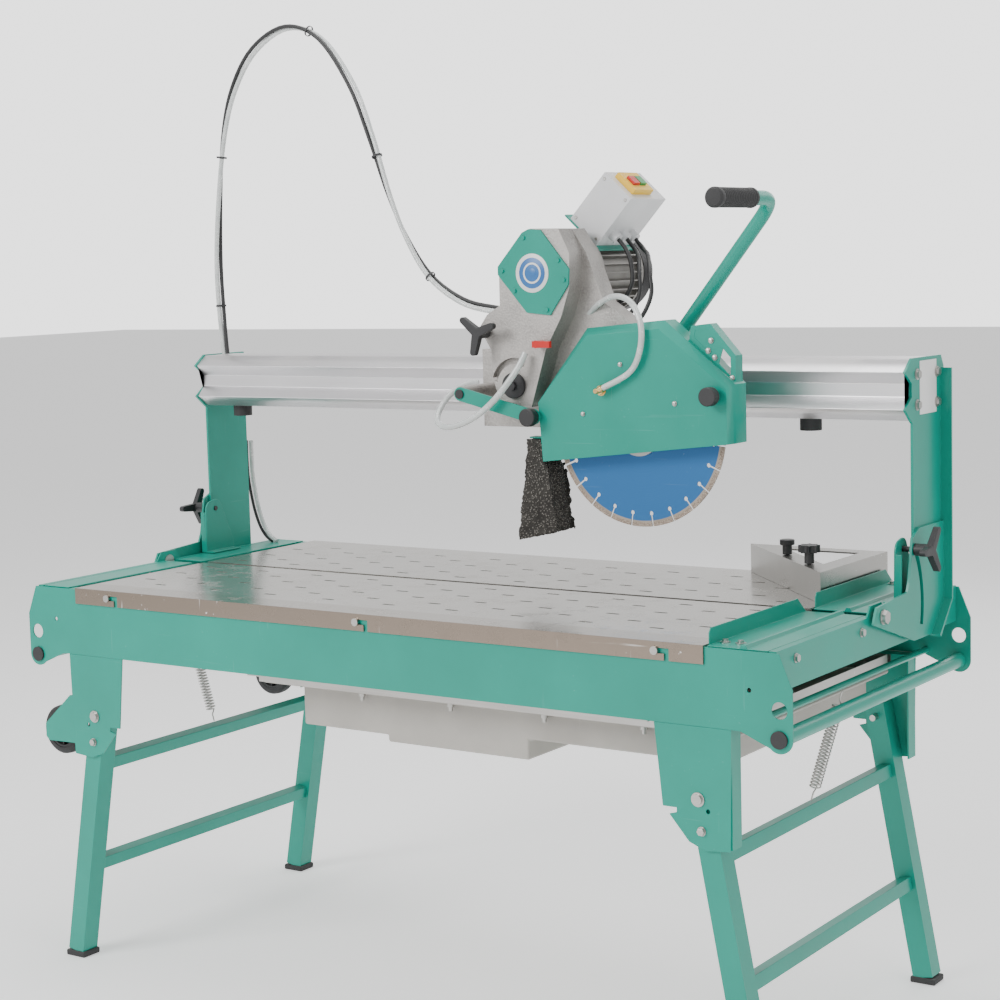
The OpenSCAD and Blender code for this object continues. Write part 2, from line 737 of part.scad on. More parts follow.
module offset_section() {
    polygon([[beam_y + beam_in - 2, beam_z - 1], [beam_y - 2, mid_z - ridge - 2], [beam_y - 2, mid_z + ridge + 2],
        [beam_y + beam_in - 2, beam_z + beam_h + 1], [beam_y + beam_dp - beam_in + 2, beam_z + beam_h + 1],
        [beam_y + beam_dp + 2, mid_z + ridge + 2], [beam_y + beam_dp + 2, mid_z - ridge - 2],
        [beam_y + beam_dp - beam_in + 2, beam_z - 1]]);
}
module plunge_pin() {
    color(black) {
        bar_y(pivot_x, case_y0 - 8, beam_y - 10 - gap, pivot_z, pivot_d / 2);
        bar_y(pivot_x, case_y0 - 8, case_y0 - gap, pivot_z, pivot_d / 2 + 9);
        translate([pivot_x, case_y0 - 8, pivot_z]) rotate([90, 0, 0]) cylinder(r = 9, h = 6, $fn = 6);
        bar_y(link_px, link_y - 2 - gap, link_y + 30, link_pz, 5);
        bar_y(link_px, link_y - 5 - gap, link_y - 2 - gap, link_pz, 9);
    }
}
module roller(x, y) {
    color(steel) {
        bar_z(x, y, car_z0 + 1, car_z1 - 1, roller_axle);
        for (z = [mid_z - ridge, mid_z + ridge]) {
            translate([x, y, z]) rotate_extrude() polygon([[roller_axle - 1, -14], [roller_r1, -14],
                [roller_r1, -9.4], [roller_r0, 0], [roller_r1, 9.4], [roller_r1, 14], [roller_axle - 1, 14]]);
        }
    }
}
module roller_front_left() {
    roller(roller_xs[0], roller_yf);
}
module roller_front_right() {
    roller(roller_xs[1], roller_yf);
}
module roller_rear_left() {
    roller(roller_xs[0], roller_yr);
}
module roller_rear_right() {
    roller(roller_xs[1], roller_yr);
}

// Head: everything that swings about the plunge pin
spindle_x = pivot_x + 255;
spindle_z = pivot_z - 82;
motor_x = pivot_x + 50;
motor_z = pivot_z + 205;
case_y0 = cut_y - 26;
case_y1 = cut_y + 66;
guard_knob_x = pivot_x + 53;
guard_knob_z = pivot_z - 56;
link_y = cut_y - 48;
module head_outline() {
    polygon([[motor_x - 80, motor_z + 2], [motor_x - 80, motor_z + 17], [motor_x - 24, motor_z + 80],
        [motor_x - 8, motor_z + 86], [motor_x + 54, motor_z + 84], [motor_x + 84, motor_z + 40],
        [motor_x + 120, motor_z - 52], [spindle_x + 40, spindle_z + 150], [spindle_x + 66, spindle_z + 40],
        [spindle_x + 40, spindle_z - 52], [spindle_x - 40, spindle_z - 52],
        [pivot_x + 96, pivot_z - 26], [pivot_x + 40, pivot_z - 54], [pivot_x - 30, pivot_z - 48],
        [pivot_x - 54, pivot_z + 14], [pivot_x - 52, pivot_z + 66], [pivot_x - 78, pivot_z + 108],
        [pivot_x - 60, pivot_z + 132], [pivot_x - 30, pivot_z + 150]]);
}
module front_outline() {
    polygon([[motor_x - 80, motor_z + 2], [motor_x - 80, motor_z + 17], [motor_x - 24, motor_z + 80],
        [motor_x - 8, motor_z + 86], [motor_x + 54, motor_z + 84], [motor_x + 76, motor_z + 40],
        [motor_x + 76, motor_z - 20], [pivot_x + 106, pivot_z + 128], [pivot_x + 70, pivot_z + 66],
        [pivot_x + 36, pivot_z - 40], [pivot_x - 30, pivot_z - 44],
        [pivot_x - 50, pivot_z + 14], [pivot_x - 52, pivot_z + 66], [pivot_x - 78, pivot_z + 108],
        [pivot_x - 60, pivot_z + 132], [pivot_x - 30, pivot_z + 150]]);
}
pulley_m = 46;
pulley_s = 35;
belt_y0 = cut_y + 34;
belt_y1 = cut_y + 50;
module belt_way(extra) {
    hull() {
        translate([motor_x, motor_z]) circle(pulley_m + extra, $fn = 64);
        translate([spindle_x, spindle_z]) circle(pulley_s + extra, $fn = 64);
    }
}
module head_casting() {
    color(cast) difference() {
        union() {
            along_y(cut_y + 20, case_y1) head_outline();
            along_y(case_y0, cut_y + 20) front_outline();
            bar_y(motor_x, case_y1, case_y1 + 22, motor_z, motor_d / 2 + 8);
            bar_y(spindle_x, case_y1, case_y1 + 14, spindle_z, 40);
        }
        along_y(belt_y0 - 6, belt_y1 + 6) belt_way(12);
        bar_y(motor_x, case_y0 - 1, belt_y0, motor_z, pulley_m + 6);
        bar_y(motor_x, case_y0, case_y1 + 30, motor_z, 16);
        bar_y(spindle_x, cut_y + 10, case_y1 + 20, spindle_z, spindle_d / 2 + 4 + run);
        bar_y(pivot_x, case_y0 - 10, case_y1 + 10, pivot_z, pivot_d / 2 + run);
        bar_y(pivot_x - 60, case_y0 - 1, case_y1 + 1, pivot_z + 100, 6 + run);
        along_y(case_y0 - 1, case_y0 + 12) translate([pivot_x, pivot_z]) arc_slot(46, 12, 60, 170);
    }
}
module cover_outline() {
    polygon([[motor_x - 80, motor_z + 2], [motor_x - 80, motor_z + 17], [motor_x - 24, motor_z + 79],
        [motor_x - 10, motor_z + 85], [motor_x + 16, motor_z + 83], [motor_x + 77, motor_z + 10],
        [motor_x + 75, motor_z - 18], [motor_x + 34, motor_z - 74], [motor_x - 17, motor_z - 69]]);
}
module belt_cover() {
    color(green) along_y(case_y0 - 4, case_y0) cover_outline();
    color(steel) for (p = [[-74, 10], [-22, 74], [58, 28], [70, -10], [30, -68], [-46, -30]]) {
        bar_y(motor_x + p[0] * 0.94, case_y0 - 7, case_y0 - 4, motor_z + p[1] * 0.94, 4);
    }
}
motor_y0 = case_y1 + 22;
motor_y1 = motor_y0 + motor_l;
fins = 28;
module motor_body() {
    color(cast) {
        difference() {
            union() {
                bar_y(motor_x, motor_y0, motor_y1, motor_z, motor_d / 2 - 12);
                bar_y(motor_x, motor_y0, motor_y0 + 14, motor_z, motor_d / 2);
                bar_y(motor_x, motor_y1, motor_y1 + 8, motor_z, motor_d / 2);
                over_motor() block(box_off - 20, box_off + 20, motor_y0 + 30, motor_y0 + 110, 40, motor_d / 2 + 2);
                for (i = [0:fins - 1]) {
                    translate([motor_x, 0, motor_z]) rotate([0, i * 360 / fins, 0])
                        block(motor_d / 2 - 14, motor_d / 2, motor_y0 + 10, motor_y1 + 2, -1.2, 1.2);
                }
            }
            bar_y(motor_x, motor_y0 + 10, motor_y1 - 6, motor_z, 30);
            bar_y(motor_x, motor_y0 - 1, motor_y1 + 2, motor_z, 12 + run);
        }
    }
    color(black) difference() {
        bar_y(motor_x, motor_y1 + 8, motor_y1 + 40, motor_z, motor_d / 2 + 1);
        bar_y(motor_x, motor_y1 + 7, motor_y1 + 37, motor_z, motor_d / 2 - 2);
        for (r = [22, 38, 54]) for (i = [0:11]) {
            translate([motor_x, 0, motor_z]) rotate([0, i * 30, 0])
                bar_y(r, motor_y1 + 30, motor_y1 + 42, 0, 4);
        }
    }
}
module rotor() {
    color(steel) {
        bar_y(motor_x, belt_y0 - 4, motor_y1, motor_z, 12);
        bar_y(motor_x, motor_y0 + 12, motor_y1 - 8, motor_z, 28);
        difference() {
            bar_y(motor_x, belt_y0 - 2, belt_y1 + 2, motor_z, pulley_m + 3);
            bar_y(motor_x, belt_y0, belt_y1, motor_z, pulley_m + 10);
        }
        bar_y(motor_x, belt_y0 - 1, belt_y1 + 1, motor_z, pulley_m - gap - 4);
    }
}
module belt() {
    color(black) along_y(belt_y0 + 1, belt_y1 - 1) difference() {
        belt_way(5);
        belt_way(-2);
    }
}

// Switch box on its plate over the motor
box_a = 43;
box_w = 76;
box_d = 130;
box_h = 115;
box_y = motor_y0 + 4;
box_off = -28;
module over_motor() {
    translate([motor_x, 0, motor_z]) rotate([0, box_a, 0]) children();
}
module switch_plate() {
    color(green) over_motor() block(box_off - box_w / 2 - 12, box_off + box_w / 2 + 12, box_y - 3,
        box_y + box_d + 4, motor_d / 2 + 2, motor_d / 2 + 5);
}
module switch_box() {
    color([0.84, 0.84, 0.85]) over_motor() {
        difference() {
            block(box_off - box_w / 2, box_off + box_w / 2, box_y, box_y + box_d, motor_d / 2 + 5, motor_d / 2 + 5 + box_h);
            block(box_off - box_w / 2 + 3, box_off + box_w / 2 - 3, box_y + 3, box_y + box_d - 3,
                motor_d / 2 + 8, motor_d / 2 + 2 + box_h);
            for (y = [28, 52]) {
                block(box_off - 8, box_off + 12, box_y + y - 0.6, box_y + y + 21.4, motor_d / 2 + box_h,
                    motor_d / 2 + box_h + 30);
            }
        }
        for (y = [30, 62, 94]) {
            bar_x(box_off + box_w / 2, box_off + box_w / 2 + 16, box_y + y, motor_d / 2 + 34, 11);
        }
    }
    color([0.95, 0.75, 0.05]) over_motor() difference() {
        block(box_off - 24, box_off + 26, box_y + 18, box_y + 86, motor_d / 2 + 5 + box_h, motor_d / 2 + 17 + box_h);
        for (y = [28, 52]) {
            block(box_off - 8.6, box_off + 12.6, box_y + y - 0.6, box_y + y + 21.4, motor_d / 2 + box_h,
                motor_d / 2 + box_h + 30);
        }
    }
}
module button(y) {
    over_motor() block(box_off - 8, box_off + 12, box_y + y, box_y + y + 20.8, motor_d / 2 + 9 + box_h,
        motor_d / 2 + 22 + box_h);
}
module stop_button() {
    color([0.8, 0.1, 0.08]) button(28);
}
module start_button() {
    color([0.1, 0.55, 0.25]) button(52);
}

// Handle, its grip and the head's lock knob
handle_from = [spindle_x + 30, spindle_z + 160];
handle_to = [pivot_x + 492, pivot_z + 331];
grip_y = [-146, -10];
module handle() {
    dx = handle_to[0] - handle_from[0];
    dz = handle_to[1] - handle_from[1];
    color(green) {
        translate([handle_from[0], case_y1 + 14, handle_from[1]]) rotate([0, atan2(dx, dz), 0])
            cylinder(r = handle_d / 2, h = norm([dx, dz]));
        bar_y(handle_to[0], cut_y + grip_y[1], case_y1 + 14 + handle_d / 2, handle_to[1], handle_d / 2 + 1);
        bar_y(handle_from[0] + 2, case_y1, case_y1 + 14, handle_from[1] + 2, 20);
    }
}
module grip() {
    color(black) {
        bar_y(handle_to[0], cut_y + grip_y[0], cut_y + grip_y[1], handle_to[1], 18);
        bar_y(handle_to[0], cut_y + grip_y[0] - 4, cut_y + grip_y[0], handle_to[1], 16);
    }
}
module head_knob() {
    color(black) translate([pivot_x - 60, case_y0 - 4, pivot_z + 100]) rotate([90, 0, 0]) rotate(20) {
        translate([0, 0, -30]) cylinder(r = 6, h = 31);
        lobe_knob(2, 44);
    }
}

// Spindle, disc and guard
module spindle() {
    color(steel) {
        bar_y(spindle_x, cut_y - 24, case_y1 + 10, spindle_z, spindle_d / 2);
        bar_y(spindle_x, cut_y + 12, case_y1 + 2, spindle_z, spindle_d / 2 + 4);
        bar_y(spindle_x, cut_y + blade_t / 2 + gap, cut_y + 9, spindle_z, 45);
        bar_y(spindle_x, cut_y - 9, cut_y - blade_t / 2 - gap, spindle_z, 45);
        translate([spindle_x, cut_y - 9, spindle_z]) rotate([90, 0, 0]) cylinder(r = 19, h = 12, $fn = 6);
        difference() {
            bar_y(spindle_x, belt_y0 - 2, belt_y1 + 2, spindle_z, pulley_s + 3);
            bar_y(spindle_x, belt_y0, belt_y1, spindle_z, pulley_s + 10);
        }
        bar_y(spindle_x, belt_y0 - 1, belt_y1 + 1, spindle_z, pulley_s - gap - 4);
    }
}
rim_h = 8;
module blade_outline() {
    difference() {
        circle(blade_d / 2 - rim_h, $fn = 180);
        circle(spindle_d / 2 + run);
        for (i = [0:segments - 1]) rotate((i + 0.5) * 360 / segments) {
            translate([blade_d / 2 - 24, -1.6]) square([30, 3.2]);
            translate([blade_d / 2 - 24, 0]) circle(4, $fn = 20);
        }
    }
}
module blade_rim() {
    difference() {
        circle(blade_d / 2, $fn = 180);
        circle(blade_d / 2 - rim_h, $fn = 180);
        for (i = [0:segments - 1]) rotate((i + 0.5) * 360 / segments) {
            translate([blade_d / 2 - 24, -1.6]) square([30, 3.2]);
        }
    }
}
module blade() {
    translate([spindle_x, cut_y, spindle_z]) rotate([90, 0, 0]) {
        color([0.2, 0.45, 0.7]) translate([0, 0, -blade_t / 2]) linear_extrude(blade_t) blade_outline();
        color([0.45, 0.4, 0.35]) translate([0, 0, -blade_t / 2 - 0.4]) linear_extrude(blade_t + 0.8) blade_rim();
    }
}
guard_y0 = cut_y - 42;
guard_y1 = cut_y + 12;
bevel = 14;
guard_t = 2;
// Guard outlines about the spindle: the flat front face, and the wider one behind its bevel
guard_face = [[-186, -60], [-194, 52], [-86, 175], [65, 188], [199, 82], [200, -18]];
guard_back = [[-188, -60], [-198, 54], [-92, 189], [70, 203], [210, 90], [210, -16]];
module guard_form(inset) {
    k = 1 - inset / 150;
    hull() {
        along_y(guard_y0 + inset, guard_y0 + inset + 0.5) scale(k) polygon(guard_face);
        along_y(guard_y0 + bevel, guard_y0 + bevel + 0.5) scale(k) polygon(guard_back);
    }
    along_y(guard_y0 + bevel, guard_y1 + (inset > 0 ? -guard_t : 0)) scale(k) polygon(guard_back);
}
guard_knobs_xz = [[guard_knob_x - spindle_x, guard_knob_z - spindle_z], [176, 70]];
module guard() {
    color(green) translate([spindle_x, 0, spindle_z]) {
        difference() {
            guard_form(0);
            guard_form(guard_t);
            rotate([0, -6.2, 0]) block(-260, 260, guard_y0 - 1, guard_y1 + 1, -200, -37);
            bar_y(0, cut_y, guard_y1 + 5, 0, 50);
            for (p = guard_knobs_xz) {
                bar_y(p[0], guard_y0 - 1, guard_y0 + bevel + 4, p[1], 5);
            }
        }
        block(-236, -190, cut_y - 10, guard_y1, -18, -15);
        hood();
    }
}
// Hood of the line laser, on the guard's sloping right shoulder
module hood() {
    along_y(guard_y0 + 24, guard_y1 - 4) difference() {
        polygon([[112, 158], [118, 192], [156, 196], [206, 140], [206, 92], [194, 88]]);
        polygon([[124, 172], [126, 184], [150, 186], [196, 136], [196, 104]]);
    }
}
module guard_knobs() {
    color(black) translate([spindle_x, 0, spindle_z]) {
        for (p = guard_knobs_xz) {
            bar_y(p[0], guard_y0 - 12, guard_y0 + bevel + 3, p[1], 5);
            bar_y(p[0], guard_y0 - 30, guard_y0 - 12, p[1], 17);
        }
    }
}
module splash_foam() {
    color([0.3, 0.29, 0.28]) translate([spindle_x, 0, spindle_z]) along_y(cut_y - 22, cut_y + 40)
        polygon([[-236, -18.4], [-262, -213], [-172, -192], [-190, -68], [-200, -62], [-200, -18.4]]);
}

// Link arm that keeps the guard level, pivoted on the carriage
// The guard end of the link is an open pivot, with room for the stud over the whole plunge
open_pivot_r = 9;
link_len = norm([guard_knob_x - link_px, guard_knob_z - link_pz]);
module arm_link() {
    a = atan2(guard_knob_z - link_pz, guard_knob_x - link_px);
    color(green) along_y(link_y - 2, link_y + 2) translate([link_px, link_pz]) rotate(a) difference() {
        union() {
            translate([0, -13]) square([link_len, 26]);
            circle(13);
            translate([link_len, 0]) circle(15);
        }
        circle(5 + run);
        translate([link_len, 0]) circle(open_pivot_r);
    }
}
tap_x = pivot_x + 62;
tap_z = pivot_z + 78;
module water_tap() {
    color([0.8, 0.12, 0.1]) {
        bar_y(tap_x, case_y0 - 22, case_y0 - gap, tap_z, 7);
        block(tap_x - 8, tap_x + 30, case_y0 - 22, case_y0 - 14, tap_z - 6, tap_z + 6);
    }
}

// Cable and hose arch: one bundle from the beam's left end over to the carriage
arch = [[-800, 200, 430], [-806, 200, 500], [-812, 202, 620], [-806, 206, 760], [-790, 210, 900],
    [-760, 214, 1000], [-700, 216, 1080], [-610, 218, 1120], [-520, 218, 1090], [-440, 216, 990],
    [-390, 212, 880], [-345, 208, 760], [-300, 204, 670], [-240, 200, 590], [-160, 196, 540],
    [-80, 192, 522], [-10, 190, 516]];
arch_r = 11;
function spline(p, i, t) =
    let (a = p[max(i - 1, 0)], b = p[i], c = p[i + 1], d = p[min(i + 2, len(p) - 1)])
    0.5 * ((2 * b) + (c - a) * t + (2 * a - 5 * b + 4 * c - d) * t * t + (3 * b - a - 3 * c + d) * t * t * t);
function route(p, n) = [for (i = [0:len(p) - 2]) for (k = [0:n - 1]) spline(p, i, k / n), p[len(p) - 1]];
function unit(v) = v / norm(v);
function heading(p, i) = unit(p[min(i + 1, len(p) - 1)] - p[max(i - 1, 0)]);
function ring(p, i, r, sides, up) =
    let (t = heading(p, i), u = unit(cross(t, up)), w = cross(t, u))
    [for (k = [0:sides - 1]) p[i] + r * (cos(k * 360 / sides) * u + sin(k * 360 / sides) * w)];
module tube(p, r, sides, up) {
    n = len(p);
    points = [for (i = [0:n - 1]) each ring(p, i, r, sides, up)];
    faces = concat([[for (k = [0:sides - 1]) k]], [[for (k = [sides - 1:-1:0]) (n - 1) * sides + k]],
        [for (i = [0:n - 2]) for (k = [0:sides - 1])
            [i * sides + k, (i + 1) * sides + k, (i + 1) * sides + (k + 1) % sides, i * sides + (k + 1) % sides]]);
    polyhedron(points, faces);
}
module cable_arch() {
    color(black) translate([0, 0, zt]) tube(route(arch, 4), arch_r, 8, [0, 1, 0.01]);
}
// Clear water hose: from the carriage's left cheek in a loop to the tap
hose = [[-36, 68, 384], [-56, 58, 382], [-76, 34, 366], [-82, 4, 340], [-70, -26, 318], [-40, -48, 308],
    [0, -58, 312], [44, -60, 330], [84, -58, 360], [114, -50, 396], [132, -40, 426], [140, -32, 448]];
module supply_hose() {
    color([0.9, 0.92, 0.92]) translate([0, 0, zt]) tube(route(hose, 3), 6, 8, [-0.1, -0.75, 0.6]);
}

front_panel();
rear_panel();
end_panels();
lift_tubes();
tube_caps();
leg_brackets();
frame_bolts();
end_trays();
tilt_quadrants();
water_tank();
tank_rails();
pump();
wheel_front();
wheel_rear();
legs_left();
rails_left();
feet_left();
legs_right();
rails_right();
feet_right();
spring_left();
spring_right();
table_front();
table_rear();
guide_plate();
guide_clamp_knob();
guide_knob();
tilt_knob_left();
tilt_knob_right();
uprights();
beam();
bridge_screws();
bumpers();
carriage();
plunge_pin();
roller_front_left();
roller_front_right();
roller_rear_left();
roller_rear_right();
arm_link();
head_casting();
belt_cover();
motor_body();
rotor();
belt();
switch_box();
switch_plate();
start_button();
stop_button();
handle();
grip();
head_knob();
spindle();
blade();
guard();
guard_knobs();
splash_foam();
water_tap();
cable_arch();
supply_hose();
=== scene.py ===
"""Looks for the wet tile saw: a folding bridge saw with a slotted table, a water tank,
a tilting beam and a plunging motor head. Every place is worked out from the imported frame."""
import json
import math

import bmesh
import bpy
from mathutils import Matrix, Vector, noise


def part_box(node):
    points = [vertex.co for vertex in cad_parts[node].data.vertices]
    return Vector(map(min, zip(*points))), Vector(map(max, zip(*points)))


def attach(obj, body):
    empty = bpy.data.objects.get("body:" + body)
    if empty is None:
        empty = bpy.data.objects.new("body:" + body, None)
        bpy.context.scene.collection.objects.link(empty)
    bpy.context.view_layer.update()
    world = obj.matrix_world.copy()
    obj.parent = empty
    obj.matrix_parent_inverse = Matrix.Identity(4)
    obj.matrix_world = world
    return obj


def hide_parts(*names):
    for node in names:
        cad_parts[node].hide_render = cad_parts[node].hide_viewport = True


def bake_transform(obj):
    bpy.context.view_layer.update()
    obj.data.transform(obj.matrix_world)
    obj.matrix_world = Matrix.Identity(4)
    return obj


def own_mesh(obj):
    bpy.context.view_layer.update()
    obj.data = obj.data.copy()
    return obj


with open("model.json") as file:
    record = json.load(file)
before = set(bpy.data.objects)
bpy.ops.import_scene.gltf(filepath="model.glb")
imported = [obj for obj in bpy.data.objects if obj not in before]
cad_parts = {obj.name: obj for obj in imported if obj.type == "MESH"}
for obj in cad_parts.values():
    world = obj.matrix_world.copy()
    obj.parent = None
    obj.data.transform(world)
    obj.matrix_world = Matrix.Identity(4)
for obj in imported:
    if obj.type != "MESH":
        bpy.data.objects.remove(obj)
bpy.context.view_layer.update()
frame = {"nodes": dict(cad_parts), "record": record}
record = frame["record"]
nodes = frame["nodes"]
body_of_node = {n: b for b, group in record["behaviour"]["bodies"].items() for n in group}
slot_of_node = {row["node"]: row["material_slot"] for row in record["subparts"]}
joints = {j["name"]: j for j in record["behaviour"]["joints"]}


def at(joint):
    """The point that a hinge turns about."""
    return Vector(joints[joint]["pos_m"])


def corner(node, low=True):
    """The low or the high corner of a CAD part's box."""
    return Vector(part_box(node)[0 if low else 1])


SPINDLE = at("disc_spin")
MOTOR = at("motor_spin")
LEG_PIVOT = at("right_leg_fold")
TABLE_TOP = corner("table_front", low=False).z
CUT_Y = SPINDLE.y
BOX_TILT = math.radians(43)
MOTOR_RADIUS = 0.075
BOX_HEIGHT = 0.115
BOX_FOOT = 0.005
BOX_HALF_WIDTH = 0.038
BOX_SHIFT = -0.028
WASHER = 0.0014
OUT = Vector((math.sin(BOX_TILT), 0, math.cos(BOX_TILT)))
DOWN = Vector((math.cos(BOX_TILT), 0, -math.sin(BOX_TILT)))

# ---------------------------------------------------------------- camera

CAMERA = Vector((2.3178, -3.3257, 1.3912))
LENS, SENSOR, SHIFT_Y = 76.53, 36, -0.0145
YAW, PITCH, ROLL = 0.5977, 0.1083, -0.027


def add_camera():
    """A long lens at head height, in front of the saw's right end."""
    look = Vector((-math.sin(YAW) * math.cos(PITCH), math.cos(YAW) * math.cos(PITCH), -math.sin(PITCH)))
    right = Vector((math.cos(YAW), math.sin(YAW), 0))
    up = right.cross(look)
    right_rolled = right * math.cos(ROLL) + up * math.sin(ROLL)
    up_rolled = up * math.cos(ROLL) - right * math.sin(ROLL)
    data = bpy.data.cameras.new("camera")
    data.lens = LENS
    data.sensor_width = SENSOR
    data.shift_y = SHIFT_Y
    data.clip_end = 100
    camera = bpy.data.objects.new("camera", data)
    bpy.context.collection.objects.link(camera)
    turn = Matrix((right_rolled, up_rolled, -look)).transposed()
    camera.matrix_world = Matrix.Translation(CAMERA) @ turn.to_4x4()
    bpy.context.scene.camera = camera


add_camera()

# ---------------------------------------------------------------- routes of the cords


def between(a, b, c, d, t):
    """A smooth step from b to c, with a and d as its neighbours."""
    return 0.5 * (
        2 * b + (c - a) * t + (2 * a - 5 * b + 4 * c - d) * t * t + (3 * b - a - 3 * c + d) * t * t * t
    )


def route(points, steps):
    """A smooth line through some points, with steps between each two."""
    points = [Vector(p) for p in points]
    last = len(points) - 1
    line = []
    for i in range(last):
        a, d = points[max(i - 1, 0)], points[min(i + 2, last)]
        line += [between(a, points[i], points[i + 1], d, k / steps) for k in range(steps)]
    return line + [points[last]]


def above_table(points_mm):
    """Points in metres, from millimetres measured up from the table's top."""
    return [Vector(p) / 1000 + Vector((0, 0, TABLE_TOP)) for p in points_mm]


def length_of(line):
    return sum((b - a).length for a, b in zip(line, line[1:]))


ARCH = above_table([
    (-800, 200, 430), (-806, 200, 500), (-812, 202, 620), (-806, 206, 760), (-790, 210, 900),
    (-760, 214, 1000), (-700, 216, 1080), (-610, 218, 1120), (-520, 218, 1090), (-440, 216, 990),
    (-390, 212, 880), (-345, 208, 760), (-300, 204, 670), (-240, 200, 590), (-160, 196, 540),
    (-80, 192, 522), (-10, 190, 516),
])
HOSE = above_table([
    (-36, 68, 384), (-56, 58, 382), (-76, 34, 366), (-82, 4, 340), (-70, -26, 318), (-40, -48, 308),
    (0, -58, 312), (44, -60, 330), (84, -58, 360), (114, -50, 396), (132, -40, 426), (140, -32, 448),
])


def tube(name, line, radius, sides=14):
    """A round tube along a line of points, with rings that don't twist and closed ends."""
    bm = bmesh.new()
    heading = (line[1] - line[0]).normalized()
    side = heading.cross(Vector((0.3, 1, 0.2))).normalized()
    rings = []
    for i, place in enumerate(line):
        ahead, behind = line[min(i + 1, len(line) - 1)], line[max(i - 1, 0)]
        new_heading = (ahead - behind).normalized()
        side = (new_heading.rotation_difference(heading).inverted() @ side) if i else side
        side = (side - new_heading * side.dot(new_heading)).normalized()
        heading = new_heading
        other = heading.cross(side)
        ring = []
        for k in range(sides):
            angle = math.tau * k / sides
            ring.append(bm.verts.new(place + radius * (math.cos(angle) * side + math.sin(angle) * other)))
        rings.append(ring)
    for one, two in zip(rings, rings[1:]):
        for k in range(sides):
            bm.faces.new((one[k], one[(k + 1) % sides], two[(k + 1) % sides], two[k]))
    bm.faces.new(rings[0])
    bm.faces.new(rings[-1])
    bmesh.ops.recalc_face_normals(bm, faces=bm.faces)
    data = bpy.data.meshes.new(name)
    bm.to_mesh(data)
    bm.free()
    data.shade_smooth()
    data.set_sharp_from_angle(angle=math.radians(50))
    piece = bpy.data.objects.new(name, data)
    bpy.context.collection.objects.link(piece)
    return piece


def beside(line, offset, twist_turns):
    """The line of a strand that winds slowly round another."""
    total, gone, out = length_of(line), 0.0, []
    for i, point in enumerate(line):
        heading = (line[min(i + 1, len(line) - 1)] - line[max(i - 1, 0)]).normalized()
        side = heading.cross(Vector((0, 1, 0.01))).normalized()
        other = heading.cross(side)
        angle = 2 * math.pi * twist_turns * gone / total
        out.append(point + offset * (math.cos(angle) * side + math.sin(angle) * other))
        if i + 1 < len(line):
            gone += (line[i + 1] - point).length
    return out


# ---------------------------------------------------------------- shader node groups


def new_group(name, inputs, outputs):
    """An empty shader node group with its named sockets, and its two end nodes."""
    group = bpy.data.node_groups.new(name, "ShaderNodeTree")
    for label, kind, value in inputs:
        socket = group.interface.new_socket(name=label, in_out="INPUT", socket_type="NodeSocket" + kind)
        if value is not None:
            socket.default_value = value
    for label, kind in outputs:
        group.interface.new_socket(name=label, in_out="OUTPUT", socket_type="NodeSocket" + kind)
    start = group.nodes.new("NodeGroupInput")
    end = group.nodes.new("NodeGroupOutput")
    return group, start, end


def node(tree, kind, settings=None, **inputs):
    """A new node, with its settings and its inputs by name or index; a socket makes a link."""
    made = tree.nodes.new("ShaderNode" + kind)
    for key, value in (settings or {}).items():
        setattr(made, key, value)
    for key, value in inputs.items():
        key = int(key[1:]) if key[0] == "i" and key[1:].isdigit() else key.replace("_", " ")
        if isinstance(value, bpy.types.NodeSocket):
            tree.links.new(value, made.inputs[key])
        else:
            made.inputs[key].default_value = value
    return made


def math_node(tree, operation, a, b=0.0, clamp=False):
    return node(tree, "Math", {"operation": operation, "use_clamp": clamp}, i0=a, i1=b).outputs[0]


def ramp(tree, value, low, high):
    """Maps a value from low..high to 0..1, held at its ends."""
    made = node(tree, "MapRange", {"clamp": True}, Value=value, From_Min=low, From_Max=high)
    return made.outputs[0]


def noise_at(tree, vector, scale, detail=4.0, rough=0.55):
    return node(tree, "TexNoise", Vector=vector, Scale=scale, Detail=detail, Roughness=rough).outputs["Fac"]


def make_mottle():
    """Broad colour drift and fine grain."""
    group, start, end = new_group(
        "mottle", [("Vector", "Vector", None), ("Broad", "Float", 6.0), ("Fine", "Float", 300.0)],
        [("Drift", "Float"), ("Grain", "Float")])
    broad = noise_at(group, start.outputs["Vector"], start.outputs["Broad"])
    fine = noise_at(group, start.outputs["Vector"], start.outputs["Fine"], 2.0)
    group.links.new(ramp(group, broad, 0.3, 0.7), end.inputs["Drift"])
    group.links.new(fine, end.inputs["Grain"])
    return group


